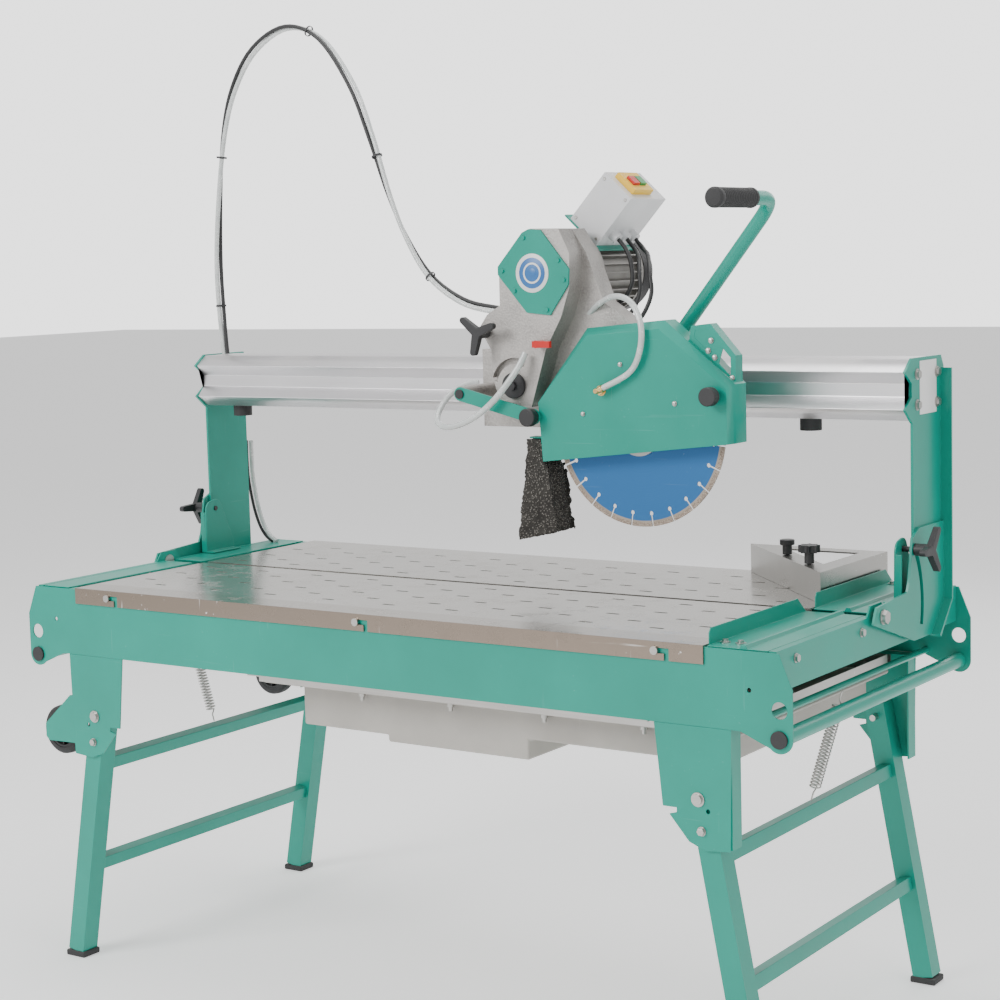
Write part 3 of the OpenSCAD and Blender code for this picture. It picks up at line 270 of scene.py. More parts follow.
def make_scuffs():
    """Thin scratches that run several ways, and small chips."""
    group, start, end = new_group(
        "scuffs", [("Vector", "Vector", None), ("Scale", "Float", 1.0), ("Amount", "Float", 0.3)],
        [("Scratches", "Float"), ("Chips", "Float")])
    total = None
    for turn, stretch in ((0.3, (6, 160, 160)), (1.3, (150, 8, 150)), (-0.6, (140, 140, 9))):
        turned = node(group, "Mapping", Vector=start.outputs["Vector"], Rotation=(turn, 0.4 * turn, turn),
                      Scale=stretch)
        grains = noise_at(group, turned.outputs[0], start.outputs["Scale"], 1.0)
        line = ramp(group, grains, 0.73, 0.76)
        total = line if total is None else math_node(group, "MAXIMUM", total, line)
    patch = ramp(group, noise_at(group, start.outputs["Vector"], 5.0, 3.0), 0.45, 0.65)
    total = math_node(group, "MULTIPLY", total, patch)
    group.links.new(math_node(group, "MULTIPLY", total, start.outputs["Amount"]), end.inputs["Scratches"])
    chips = node(group, "TexVoronoi", Vector=start.outputs["Vector"], Scale=90.0)
    spots = math_node(group, "LESS_THAN", chips.outputs["Distance"], 0.09)
    rare = ramp(group, noise_at(group, start.outputs["Vector"], 17.0, 2.0), 0.62, 0.66)
    spots = math_node(group, "MULTIPLY", spots, rare)
    group.links.new(math_node(group, "MULTIPLY", spots, start.outputs["Amount"]), end.inputs["Chips"])
    return group


def make_brushed():
    """Long fine lines along X, as on rolled, brushed or drawn metal."""
    group, start, end = new_group(
        "brushed", [("Vector", "Vector", None), ("Across", "Float", 900.0), ("Along", "Float", 6.0)],
        [("Lines", "Float")])
    stretch = node(group, "CombineXYZ", X=start.outputs["Along"], Y=start.outputs["Across"],
                   Z=start.outputs["Across"])
    spread = node(group, "VectorMath", {"operation": "MULTIPLY"}, i0=start.outputs["Vector"],
                  i1=stretch.outputs[0])
    group.links.new(noise_at(group, spread.outputs[0], 1.0, 3.0), end.inputs["Lines"])
    return group


def make_dust():
    """Fine stone dust that settles on faces that point up."""
    group, start, end = new_group(
        "settled_dust", [("Vector", "Vector", None), ("Amount", "Float", 0.3)], [("Dust", "Float")])
    facing = node(group, "NewGeometry")
    up = node(group, "SeparateXYZ", Vector=facing.outputs["Normal"])
    flat = ramp(group, up.outputs["Z"], 0.55, 1.0)
    patchy = ramp(group, noise_at(group, start.outputs["Vector"], 9.0, 6.0, 0.65), 0.38, 0.72)
    dust = math_node(group, "MULTIPLY", flat, patchy)
    group.links.new(math_node(group, "MULTIPLY", dust, start.outputs["Amount"]), end.inputs["Dust"])
    return group


MOTTLE, SCUFFS, BRUSHED, DUST = make_mottle(), make_scuffs(), make_brushed(), make_dust()

# ---------------------------------------------------------------- materials


def use(tree, group, **inputs):
    """Places a node group in a material and gives its outputs."""
    made = tree.nodes.new("ShaderNodeGroup")
    made.node_tree = group
    for key, value in inputs.items():
        key = key.replace("_", " ")
        if isinstance(value, bpy.types.NodeSocket):
            tree.links.new(value, made.inputs[key])
        else:
            made.inputs[key].default_value = value
    return made.outputs


def mix(tree, amount, a, b):
    """A colour that goes from a to b; each may be a colour or a socket."""
    made = tree.nodes.new("ShaderNodeMix")
    made.data_type = "RGBA"
    for key, value in ((0, amount), (6, a), (7, b)):
        if isinstance(value, bpy.types.NodeSocket):
            tree.links.new(value, made.inputs[key])
        else:
            made.inputs[key].default_value = (*value, 1) if key > 0 else value
    return made.outputs[2]


def blank(name, metallic=0.0, specular=0.5, **sockets):
    """A new material with its surface shader and the piece's own coordinates."""
    material = bpy.data.materials.new(name)
    material.use_nodes = True
    tree = material.node_tree
    surface = tree.nodes["Principled BSDF"]
    surface.inputs["Metallic"].default_value = metallic
    surface.inputs["Specular IOR Level"].default_value = specular
    for key, value in sockets.items():
        surface.inputs[key.replace("_", " ")].default_value = value
    place = tree.nodes.new("ShaderNodeTexCoord").outputs["Object"]
    return material, tree, surface, place


def finish_material(tree, surface, colour, roughness, height, strength, distance):
    """Joins colour, roughness and a fine bump to the surface shader."""
    tree.links.new(colour, surface.inputs["Base Color"])
    tree.links.new(roughness, surface.inputs["Roughness"])
    bump = node(tree, "Bump", Strength=strength, Distance=distance, Height=height)
    tree.links.new(bump.outputs[0], surface.inputs["Normal"])


def span(tree, value, low, high):
    """Maps a value from 0..1 to low..high."""
    made = node(tree, "MapRange", Value=value, To_Min=low, To_Max=high)
    return made.outputs[0]


def paint(name, light, dark, dust=0.25, scuff=0.35):
    """Powder coat: slight orange peel, drift in tone, thin scratches, small chips and dust."""
    material, tree, surface, place = blank(name, specular=0.35, Coat_Weight=0.12, Coat_Roughness=0.15)
    grain = use(tree, MOTTLE, Vector=place, Broad=5.0, Fine=420.0)
    marks = use(tree, SCUFFS, Vector=place, Scale=1.0, Amount=scuff)
    settled = use(tree, DUST, Vector=place, Amount=dust)
    colour = mix(tree, grain["Drift"], dark, light)
    colour = mix(tree, marks["Scratches"], colour, (0.2, 0.52, 0.44))
    colour = mix(tree, marks["Chips"], colour, (0.22, 0.21, 0.2))
    colour = mix(tree, settled["Dust"], colour, (0.62, 0.64, 0.6))
    rough = span(tree, grain["Drift"], 0.3, 0.42)
    rough = math_node(tree, "ADD", rough, math_node(tree, "MULTIPLY", settled["Dust"], 0.4), True)
    finish_material(tree, surface, colour, rough, grain["Grain"], 0.12, 0.0008)
    return material


def brushed_metal(name, light, dark, rough=(0.22, 0.4), across=900.0, along=6.0, stain=0.3, metallic=1.0):
    """Rolled or drawn metal with lines along X, water marks and dust."""
    material, tree, surface, place = blank(name, metallic=metallic)
    lines = use(tree, BRUSHED, Vector=place, Across=across, Along=along)["Lines"]
    grain = use(tree, MOTTLE, Vector=place, Broad=7.0, Fine=160.0)
    marks = use(tree, SCUFFS, Vector=place, Scale=1.0, Amount=0.5)
    settled = use(tree, DUST, Vector=place, Amount=stain)
    colour = mix(tree, lines, dark, light)
    colour = mix(tree, math_node(tree, "MULTIPLY", grain["Drift"], 0.25), colour, dark)
    colour = mix(tree, marks["Scratches"], colour, (0.9, 0.9, 0.9))
    colour = mix(tree, settled["Dust"], colour, (0.55, 0.52, 0.47))
    shade = span(tree, math_node(tree, "ADD", math_node(tree, "MULTIPLY", lines, 0.5),
                                 math_node(tree, "MULTIPLY", grain["Drift"], 0.5)), *rough)
    shade = math_node(tree, "ADD", shade, math_node(tree, "MULTIPLY", settled["Dust"], 0.35), True)
    finish_material(tree, surface, colour, shade, lines, 0.08, 0.0005)
    return material


def cast_metal(name, light, dark, metallic=0.75):
    """Die-cast aluminium with a sandy skin and a random drift in tone."""
    material, tree, surface, place = blank(name, metallic=metallic)
    grain = use(tree, MOTTLE, Vector=place, Broad=14.0, Fine=260.0)
    settled = use(tree, DUST, Vector=place, Amount=0.3)
    colour = mix(tree, grain["Drift"], dark, light)
    colour = mix(tree, ramp(tree, grain["Grain"], 0.35, 0.75), colour, light)
    colour = mix(tree, settled["Dust"], colour, (0.66, 0.64, 0.6))
    finish_material(tree, surface, colour, span(tree, grain["Drift"], 0.42, 0.6), grain["Grain"], 0.5, 0.0012)
    return material


def moulded(name, light, dark, rough=(0.4, 0.6), bump=0.15, fine=600.0, dust=0.2, scuff=0.15, **sockets):
    """Moulded plastic or rubber with a fine texture and a little dust."""
    material, tree, surface, place = blank(name, **sockets)
    grain = use(tree, MOTTLE, Vector=place, Broad=8.0, Fine=fine)
    marks = use(tree, SCUFFS, Vector=place, Scale=1.0, Amount=scuff)
    settled = use(tree, DUST, Vector=place, Amount=dust)
    colour = mix(tree, grain["Drift"], dark, light)
    colour = mix(tree, marks["Scratches"], colour, tuple(min(1, 0.12 + 1.1 * c) for c in light))
    colour = mix(tree, settled["Dust"], colour, (0.6, 0.59, 0.56))
    finish_material(tree, surface, colour, span(tree, grain["Drift"], *rough), grain["Grain"], bump, 0.0008)
    return material


def radius_from(tree, place, centre):
    """Distance from an axis along Y through centre."""
    moved = node(tree, "Mapping", {"vector_type": "POINT"}, Vector=place,
                 Location=(-centre.x, 0, -centre.z), Scale=(1, 0, 1))
    return node(tree, "VectorMath", {"operation": "LENGTH"}, i0=moved.outputs[0]).outputs["Value"]


def blade_material():
    """Blue lacquered core with fine turning rings, a bare band and sintered segments."""
    material, tree, surface, place = blank("disc_steel", metallic=0.35)
    radius = radius_from(tree, place, SPINDLE)
    grain = use(tree, MOTTLE, Vector=place, Broad=14.0, Fine=500.0)
    rings = noise_at(tree, node(tree, "CombineXYZ", X=radius).outputs[0], 900.0, 2.0)
    marks = use(tree, SCUFFS, Vector=place, Scale=1.0, Amount=0.2)
    outer = corner("blade", low=False).x - SPINDLE.x
    blue = mix(tree, rings, (0.012, 0.1, 0.29), (0.024, 0.17, 0.42))
    blue = mix(tree, marks["Scratches"], blue, (0.3, 0.45, 0.6))
    bare = mix(tree, grain["Drift"], (0.3, 0.25, 0.2), (0.42, 0.36, 0.3))
    sinter = mix(tree, ramp(tree, grain["Grain"], 0.4, 0.65), (0.2, 0.15, 0.12), (0.5, 0.42, 0.34))
    colour = mix(tree, ramp(tree, radius, outer - 0.0112, outer - 0.0106), blue, bare)
    colour = mix(tree, ramp(tree, radius, outer - 0.0075, outer - 0.0071), colour, sinter)
    finish_material(tree, surface, colour, span(tree, rings, 0.28, 0.45), rings, 0.1, 0.0004)
    return material


def motor_material():
    """Finned aluminium in a dark grey that is partly painted shade, with a black fan cover on its far end."""
    material, tree, surface, place = blank("motor_shell", metallic=0.6)
    grain = use(tree, MOTTLE, Vector=place, Broad=18.0, Fine=300.0)
    cover = corner("motor_body", low=False).y - 0.0325
    depth = node(tree, "SeparateXYZ", Vector=place).outputs["Y"]
    # the shell's grey is the aluminium's own tone, set darker as painted shade on the motor
    shell = mix(tree, grain["Drift"], (0.2, 0.19, 0.18), (0.34, 0.33, 0.31))
    colour = mix(tree, math_node(tree, "GREATER_THAN", depth, cover), shell, (0.012, 0.012, 0.013))
    finish_material(tree, surface, colour, span(tree, grain["Drift"], 0.4, 0.55), grain["Grain"], 0.3, 0.001)
    return material


def box_material():
    """Light grey enclosure; past its lid the same piece is the yellow switch frame."""
    material, tree, surface, place = blank("enclosure_plastic", Coat_Weight=0.1)
    grain = use(tree, MOTTLE, Vector=place, Broad=9.0, Fine=700.0)
    settled = use(tree, DUST, Vector=place, Amount=0.25)
    along = node(tree, "VectorMath", {"operation": "DOT_PRODUCT"}, i0=place, i1=tuple(OUT)).outputs["Value"]
    lid = MOTOR.dot(OUT) + MOTOR_RADIUS + BOX_FOOT + BOX_HEIGHT
    shell = mix(tree, grain["Drift"], (0.62, 0.62, 0.63), (0.74, 0.74, 0.75))
    colour = mix(tree, math_node(tree, "GREATER_THAN", along, lid + 0.0002), shell, (0.85, 0.52, 0.02))
    colour = mix(tree, settled["Dust"], colour, (0.7, 0.68, 0.64))
    rough = span(tree, grain["Drift"], 0.32, 0.45)
    finish_material(tree, surface, colour, rough, grain["Grain"], 0.1, 0.0006)
    return material


def foam_material():
    """Dark open-cell foam, grey where slurry has dried in it."""
    material, tree, surface, place = blank("splash_foam", specular=0.2)
    cells = node(tree, "TexVoronoi", Vector=place, Scale=210.0)
    grain = use(tree, MOTTLE, Vector=place, Broad=30.0, Fine=700.0)
    open_cells = ramp(tree, cells.outputs["Distance"], 0.55, 0.15)
    colour = mix(tree, open_cells, (0.03, 0.028, 0.026), (0.26, 0.245, 0.225))
    colour = mix(tree, math_node(tree, "MULTIPLY", grain["Drift"], 0.15), colour, (0.2, 0.19, 0.17))
    finish_material(tree, surface, colour, span(tree, open_cells, 0.85, 1.0), open_cells, 1.0, 0.004)
    return material


def clear_hose_material():
    """Milky translucent hose with water in it."""
    material, tree, surface, place = blank("clear_hose", Coat_Weight=0.5, Coat_Roughness=0.1)
    surface.inputs["Transmission Weight"].default_value = 0.3
    grain = use(tree, MOTTLE, Vector=place, Broad=40.0, Fine=600.0)
    colour = mix(tree, grain["Drift"], (0.66, 0.7, 0.69), (0.84, 0.86, 0.85))
    finish_material(tree, surface, colour, span(tree, grain["Drift"], 0.2, 0.3), grain["Grain"], 0.05, 0.0004)
    return material


def table_material():
    """Stainless sheet: fine brushing, water stains, a grey drift in tone, and painted shade, browner on the
    front strip of the top and dark brown on the front flange.
    """
    material, tree, surface, place = blank("table_stainless", metallic=0.92)
    lines = use(tree, BRUSHED, Vector=place, Across=700.0, Along=5.0)["Lines"]
    grain = use(tree, MOTTLE, Vector=place, Broad=4.5, Fine=120.0)
    marks = use(tree, SCUFFS, Vector=place, Scale=0.8, Amount=0.8)
    parts = node(tree, "SeparateXYZ", Vector=place)
    # painted shade: the top's front strip, about 60 mm deep, is mixed towards a darker brown
    front = ramp(tree, parts.outputs["Y"], corner("table_front").y + 0.068,
                 corner("table_front").y + 0.058)
    colour = mix(tree, lines, (0.5, 0.48, 0.45), (0.72, 0.7, 0.67))
    colour = mix(tree, math_node(tree, "MULTIPLY", grain["Drift"], 0.3), colour, (0.42, 0.39, 0.35))
    colour = mix(tree, math_node(tree, "MULTIPLY", front, 0.45), colour, (0.38, 0.33, 0.28))
    # painted shade: the forward-facing front flange is mixed strongly towards dark brown
    flange = ramp(tree, parts.outputs["Y"], corner("table_front").y + 0.0025,
                  corner("table_front").y + 0.0015)
    colour = mix(tree, math_node(tree, "MULTIPLY", flange, 0.8), colour, (0.2, 0.15, 0.11))
    colour = mix(tree, marks["Scratches"], colour, (0.8, 0.79, 0.77))
    stains = ramp(tree, noise_at(tree, place, 22.0, 8.0, 0.7), 0.52, 0.62)
    rough = span(tree, math_node(tree, "ADD", math_node(tree, "MULTIPLY", lines, 0.4),
                                 math_node(tree, "MULTIPLY", stains, 0.4)), 0.16, 0.42)
    finish_material(tree, surface, colour, rough, lines, 0.06, 0.0004)
    return material


GREEN = paint("green_powder_coat", (0.002, 0.3, 0.222), (0.001, 0.255, 0.187), dust=0.06, scuff=0.12)
BLACK = moulded("black_nylon", (0.022, 0.022, 0.024), (0.012, 0.012, 0.013), bump=0.25)
RUBBER = moulded("black_rubber", (0.03, 0.03, 0.031), (0.017, 0.017, 0.018), rough=(0.6, 0.8), bump=0.4)
TANK = moulded("tank_polythene", (0.43, 0.41, 0.375), (0.36, 0.34, 0.31), rough=(0.45, 0.6), bump=0.3)
ZINC = brushed_metal("zinc_plate", (0.6, 0.59, 0.57), (0.36, 0.35, 0.33), rough=(0.25, 0.4), stain=0.1)
EXTRUSION = brushed_metal("anodised_beam", (0.78, 0.77, 0.78), (0.66, 0.65, 0.67), rough=(0.3, 0.42),
                          stain=0.35)
CASTING = cast_metal("cast_aluminium", (0.44, 0.42, 0.4), (0.25, 0.235, 0.225))
STAINLESS = brushed_metal("brushed_stainless", (0.5, 0.49, 0.47), (0.34, 0.33, 0.31), stain=0.12)
RED = moulded("red_plastic", (0.62, 0.02, 0.015), (0.5, 0.012, 0.01), rough=(0.25, 0.35), dust=0.1)
START = moulded("green_button", (0.02, 0.32, 0.08), (0.012, 0.25, 0.06), rough=(0.25, 0.35), dust=0.1)
BRASS = brushed_metal("brass", (0.85, 0.6, 0.28), (0.6, 0.4, 0.16), rough=(0.2, 0.35), stain=0.1)
WHITE = moulded("white_plastic", (0.8, 0.8, 0.79), (0.7, 0.7, 0.69), rough=(0.3, 0.45), dust=0.15)
BLUE = moulded("blue_print", (0.03, 0.16, 0.42), (0.02, 0.12, 0.35), rough=(0.3, 0.4), dust=0.1)
CABLE = moulded("cable_jacket", (0.02, 0.02, 0.021), (0.012, 0.012, 0.013), rough=(0.4, 0.55), bump=0.1)
HOSE_CLEAR = clear_hose_material()

MATERIAL_OF_SLOT = {
    "green_paint": GREEN, "stainless": STAINLESS, "zinc": ZINC, "extrusion": EXTRUSION, "casting": CASTING,
    "black_plastic": BLACK, "black_rubber": RUBBER, "tank_plastic": TANK, "box_plastic": box_material(),
    "switch_red": RED, "switch_green": START, "blade_steel": blade_material(), "foam": foam_material(),
    "hose": HOSE_CLEAR, "cable_jacket": CABLE,
}
MATERIAL_OF_NODE = {"table_front": table_material(), "spindle": ZINC, "motor_body": motor_material()}
MATERIAL_OF_NODE["table_rear"] = MATERIAL_OF_NODE["table_front"]


def material_of(name):
    """A CAD part's own material, or the one its slot has."""
    return MATERIAL_OF_NODE.get(name) or MATERIAL_OF_SLOT[slot_of_node[name]]


for name, shown in nodes.items():
    shown.data.materials.clear()
    shown.data.materials.append(material_of(name))

# ---------------------------------------------------------------- making pieces


def piece_from(name, bm, material, body, smooth=True):
    """Turns a bmesh into a finished piece that rides on a body."""
    data = bpy.data.meshes.new(name)
    bmesh.ops.recalc_face_normals(bm, faces=bm.faces)
    bm.to_mesh(data)
    bm.free()
    piece = bpy.data.objects.new(name, data)
    bpy.context.collection.objects.link(piece)
    data.materials.append(material)
    if smooth:
        data.shade_smooth()
        data.set_sharp_from_angle(angle=math.radians(35))
    if body:
        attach(piece, body)
    return piece


def softened(name, width, segments=2, angle=38):
    """Stands in for a CAD part with its sharp edges rounded."""
    source = nodes[name]
    bm = bmesh.new()
    bm.from_mesh(source.data)
    bmesh.ops.remove_doubles(bm, verts=bm.verts, dist=1e-6)
    bmesh.ops.dissolve_limit(bm, angle_limit=math.radians(0.5), verts=bm.verts, edges=bm.edges)
    data = bpy.data.meshes.new(name + "_finished")
    bm.to_mesh(data)
    bm.free()
    data.shade_smooth()
    data.materials.append(material_of(name))
    piece = bpy.data.objects.new(name + "_finished", data)
    bpy.context.collection.objects.link(piece)
    bevel = piece.modifiers.new("edges", "BEVEL")
    bevel.width = width
    bevel.segments = segments
    bevel.limit_method = "ANGLE"
    bevel.angle_limit = math.radians(angle)
    bevel.use_clamp_overlap = True
    normals = piece.modifiers.new("normals", "WEIGHTED_NORMAL")
    normals.keep_sharp = True
    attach(piece, body_of_node[name])
    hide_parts(name)
    return piece


ALONG_Y = Matrix.Rotation(math.radians(-90), 4, "X")
TOWARDS_FRONT = Matrix.Rotation(math.radians(90), 4, "X")


def join(bm, part, matrix):
    """Puts a finished small mesh into a bigger one at its place."""
    bmesh.ops.transform(part, matrix=matrix, verts=part.verts)
    data = bpy.data.meshes.new("part")
    part.to_mesh(data)
    part.free()
    bm.from_mesh(data)
    bpy.data.meshes.remove(data)


def lathe(bm, profile, place, turn, steps=40):
    """Spins a (radius, along) profile round its axis and puts it at a place."""
    part = bmesh.new()
    made = [part.verts.new((r, 0, h)) for r, h in profile]
    edges = [part.edges.new(pair) for pair in zip(made, made[1:])]
    bmesh.ops.spin(part, geom=made + edges, cent=(0, 0, 0), axis=(0, 0, 1), angle=math.tau, steps=steps)
    bmesh.ops.remove_doubles(part, verts=part.verts, dist=1e-6)
    join(bm, part, Matrix.Translation(place) @ turn)


def hex_head(bm, radius, height, place, turn):
    """A hexagon with a rounded top and a washer under it."""
    lathe(bm, [(0, 0), (radius * 1.25, 0), (radius * 1.25, WASHER), (0, WASHER)], place, turn, 28)
    part = bmesh.new()
    bmesh.ops.create_cone(part, cap_ends=True, segments=6, radius1=radius, radius2=radius, depth=height)
    bmesh.ops.bevel(part, geom=part.edges[:], offset=radius * 0.1, segments=2, profile=0.5, affect="EDGES",
                    material=-1)
    join(bm, part, Matrix.Translation(place) @ turn @ Matrix.Translation((0, 0, WASHER + height / 2)))


def slab(bm, low, high, bevel=0.001, turn=Matrix.Identity(4)):
    """A box between two corners, with rounded edges."""
    low, high = Vector(low), Vector(high)
    part = bmesh.new()
    bmesh.ops.create_cube(part, size=1)
    bmesh.ops.transform(part, matrix=Matrix.Diagonal((*(high - low), 1)), verts=part.verts)
    bmesh.ops.bevel(part, geom=part.edges[:], offset=bevel, segments=2, profile=0.5, affect="EDGES",
                    material=-1)
    join(bm, part, turn @ Matrix.Translation((low + high) / 2))


# ---------------------------------------------------------------- cords and hoses

ARCH_LINE = route(ARCH, 6)
HOSE_LINE = route(HOSE, 5)


def arch_of_cables():
    """A black cable and a clear hose side by side, tied together, from the beam to the carriage."""
    strands = [
        ("arch_cable", -0.0052, 0.0042, CABLE, "cable_jacket"),
        ("arch_hose", 0.0048, 0.0050, HOSE_CLEAR, "hose"),
    ]
    for name, offset, radius, material, slot in strands:
        line = beside(ARCH_LINE, offset, 1.5)
        strand = tube(name, line, radius)
        strand.data.materials.append(material)
        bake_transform(strand)
        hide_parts("cable_arch")
    for i in (8, 22, 46, 62, 78):
        heading = (ARCH_LINE[i + 1] - ARCH_LINE[i - 1]).normalized()
        turn = heading.to_track_quat("Z", "Y").to_matrix().to_4x4()
        bm = bmesh.new()
        lathe(bm, [(0.0103, -0.002), (0.0113, -0.002), (0.0113, 0.002), (0.0103, 0.002), (0.0103, -0.002)],
              ARCH_LINE[i], turn, 24)
        tie = piece_from(f"cable_tie_{i}", bm, BLACK, None)
        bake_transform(tie)


def water_hose():
    """The clear hose that loops in front of the carriage, from its left cheek to the tap."""
    piece = tube("water_hose", HOSE_LINE, 0.006)
    piece.data.materials.append(HOSE_CLEAR)
    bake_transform(piece)
    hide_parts("supply_hose")


arch_of_cables()
water_hose()

# ---------------------------------------------------------------- frame and legs

for name in ("front_panel", "rear_panel", "end_panels", "leg_brackets", "tilt_quadrants", "end_trays",
             "uprights", "legs_left", "legs_right", "rails_left", "rails_right"):
    softened(name, 0.0012)
for name, width in (("guide_clamp_knob", 0.0012), ("guide_knob", 0.0012), ("tilt_knob_left", 0.0016),
                    ("tilt_knob_right", 0.0016), ("head_knob", 0.0016), ("guard_knobs", 0.0022),
                    ("carriage", 0.004), ("head_casting", 0.0035), ("water_tank", 0.009),
                    ("guard", 0.0016), ("belt_cover", 0.0012), ("switch_box", 0.0025),
                    ("guide_plate", 0.0008), ("beam", 0.0015), ("feet_left", 0.003), ("feet_right", 0.003)):
    softened(name, width, 3)


def leg_spring(name, side):
    """A closely wound tension spring with a hook at each end."""
    top = Vector((side * (LEG_PIVOT.x + 0.083), 0, LEG_PIVOT.z + 0.118))
    low = Vector((side * (LEG_PIVOT.x + 0.021), 0, LEG_PIVOT.z - 0.0853))
    down = (low - top).normalized()
    across = Vector((0, 1, 0))
    other = down.cross(across)
    length = (low - top).length
    radius, turns, hook = 0.0095, 26, 0.026
    line = [top + down * 0.001, top + down * (hook * 0.6)]
    steps = turns * 14
    for k in range(steps + 1):
        angle = 2 * math.pi * k / 14
        along = hook + (length - 2 * hook) * k / steps
        line.append(top + down * along + radius * (math.cos(angle) * across + math.sin(angle) * other))
    line += [low - down * (hook * 0.6), low - down * 0.001]
    spring = tube(name + "_coil", line, 0.00145, 8)
    spring.data.materials.append(ZINC)
    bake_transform(spring)
    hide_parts(name)


leg_spring("spring_right", 1)
leg_spring("spring_left", -1)


def add_wheel(name, body):
    """A solid rubber tyre on a nylon hub with ribs."""
    low, high = corner(name), corner(name, low=False)
    middle = (low + high) / 2
    half, outer = (high.y - low.y) / 2, (high.x - low.x) / 2
    bm = bmesh.new()
    lathe(bm, [(outer - 0.014, -half), (outer - 0.005, -half), (outer - 0.001, -half * 0.7), (outer, 0),
               (outer - 0.001, half * 0.7), (outer - 0.005, half), (outer - 0.014, half),
               (outer - 0.014, -half)], middle, ALONG_Y, 64)
    tyre = piece_from(name + "_tyre", bm, RUBBER, body)
    bm = bmesh.new()
    lathe(bm, [(outer - 0.0145, -half * 0.9), (outer - 0.0145, half * 0.9), (outer - 0.019, half * 0.9),
               (outer - 0.019, 0.003), (0.018, 0.003), (0.016, half), (0.0081, half), (0.0081, -half),
               (0.016, -half), (0.018, -0.003), (outer - 0.019, -0.003), (outer - 0.019, -half * 0.9),
               (outer - 0.0145, -half * 0.9)], middle, ALONG_Y, 64)
    for k in range(8):
        turn = Matrix.Translation(middle) @ Matrix.Rotation(math.tau * k / 8, 4, "Y")
        slab(bm, (0.0155, -half * 0.8, -0.0015), (outer - 0.017, half * 0.8, 0.0015), 0.0006, turn)
    hub = piece_from(name + "_hub", bm, BLACK, body)
    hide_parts(name)
    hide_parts(name)


add_wheel("wheel_front", "front_wheel")
add_wheel("wheel_rear", "rear_wheel")

# ---------------------------------------------------------------- head


def add_foam():
    """A thick strip of open-cell foam, torn and swollen at its edges."""
    source = nodes["splash_foam"]
    bm = bmesh.new()
    bm.from_mesh(source.data)
    bmesh.ops.remove_doubles(bm, verts=bm.verts, dist=1e-6)
    bmesh.ops.dissolve_limit(bm, angle_limit=math.radians(1), verts=bm.verts, edges=bm.edges)
    data = bpy.data.meshes.new("foam_block")
    bm.to_mesh(data)
    bm.free()
    piece = bpy.data.objects.new("foam_block", data)
    bpy.context.collection.objects.link(piece)
    remesh = piece.modifiers.new("cells", "REMESH")
    remesh.mode = "VOXEL"
    remesh.voxel_size = 0.0026
    shown = bpy.context.evaluated_depsgraph_get()
    fine = bpy.data.meshes.new_from_object(piece.evaluated_get(shown))
    piece.modifiers.clear()
    piece.data = fine
    for v in fine.vertices:
        lump = noise.noise(v.co * 38) * 0.003 + noise.noise(v.co * 210) * 0.0028
        v.co += v.normal * (lump - 0.0022)
    fine.shade_smooth()
    fine.materials.append(MATERIAL_OF_SLOT["foam"])
    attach(piece, "guard_body")
    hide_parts("splash_foam")
    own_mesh(piece)


add_foam()


def add_grip():
    """A ribbed rubber grip with a flanged, rounded end."""
    low, high = corner("grip"), corner("grip", low=False)
    outer = (high.x - low.x) / 2
    start, length = high.y, high.y - low.y
    profile = [(0.0145, 0), (outer - 0.001, 0), (outer, 0.002), (outer, 0.008), (outer - 0.002, 0.010)]
    ribs = 18
    pitch = (length - 0.030) / ribs
    for k in range(ribs):
        h = 0.012 + k * pitch
        profile += [(outer - 0.0022, h), (outer - 0.0006, h + pitch * 0.3), (outer - 0.0006, h + pitch * 0.6),
                    (outer - 0.0022, h + pitch * 0.9)]
    profile += [(outer - 0.001, length - 0.016), (outer, length - 0.012), (outer, length - 0.005),
                (outer - 0.004, length - 0.001), (0.006, length), (0, length)]
    bm = bmesh.new()
    middle = Vector(((low.x + high.x) / 2, start, (low.z + high.z) / 2))
    lathe(bm, profile, middle, TOWARDS_FRONT, 48)
    piece = piece_from("rubber_grip", bm, RUBBER, "head")
    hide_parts("grip")


add_grip()


def add_badge():
    """A plain round badge on the belt cover: a white ring round a blue disc."""
    face = corner("belt_cover").y + 0.003
    place = Vector((MOTOR.x - 0.003, face, MOTOR.z + 0.004))
    for name, inner, outer, rise, material, slot in (
            ("badge_ring", 0.0, 0.036, 0.0006, WHITE, "box_plastic"),
            ("badge_disc", 0.0, 0.0285, 0.0009, BLUE, "blade_steel"),
            ("badge_band", 0.016, 0.0195, 0.0012, WHITE, "box_plastic"),
            ("badge_centre", 0.0, 0.009, 0.0012, BLUE, "blade_steel")):
        bm = bmesh.new()
        lathe(bm, [(inner, 0), (outer - 0.0003, 0), (outer, -0.0002 + rise), (outer - 0.0004, rise),
                   (inner, rise)] + ([(inner, 0)] if inner else []), place, TOWARDS_FRONT, 64)
        piece_from(name, bm, material, "head")


add_badge()


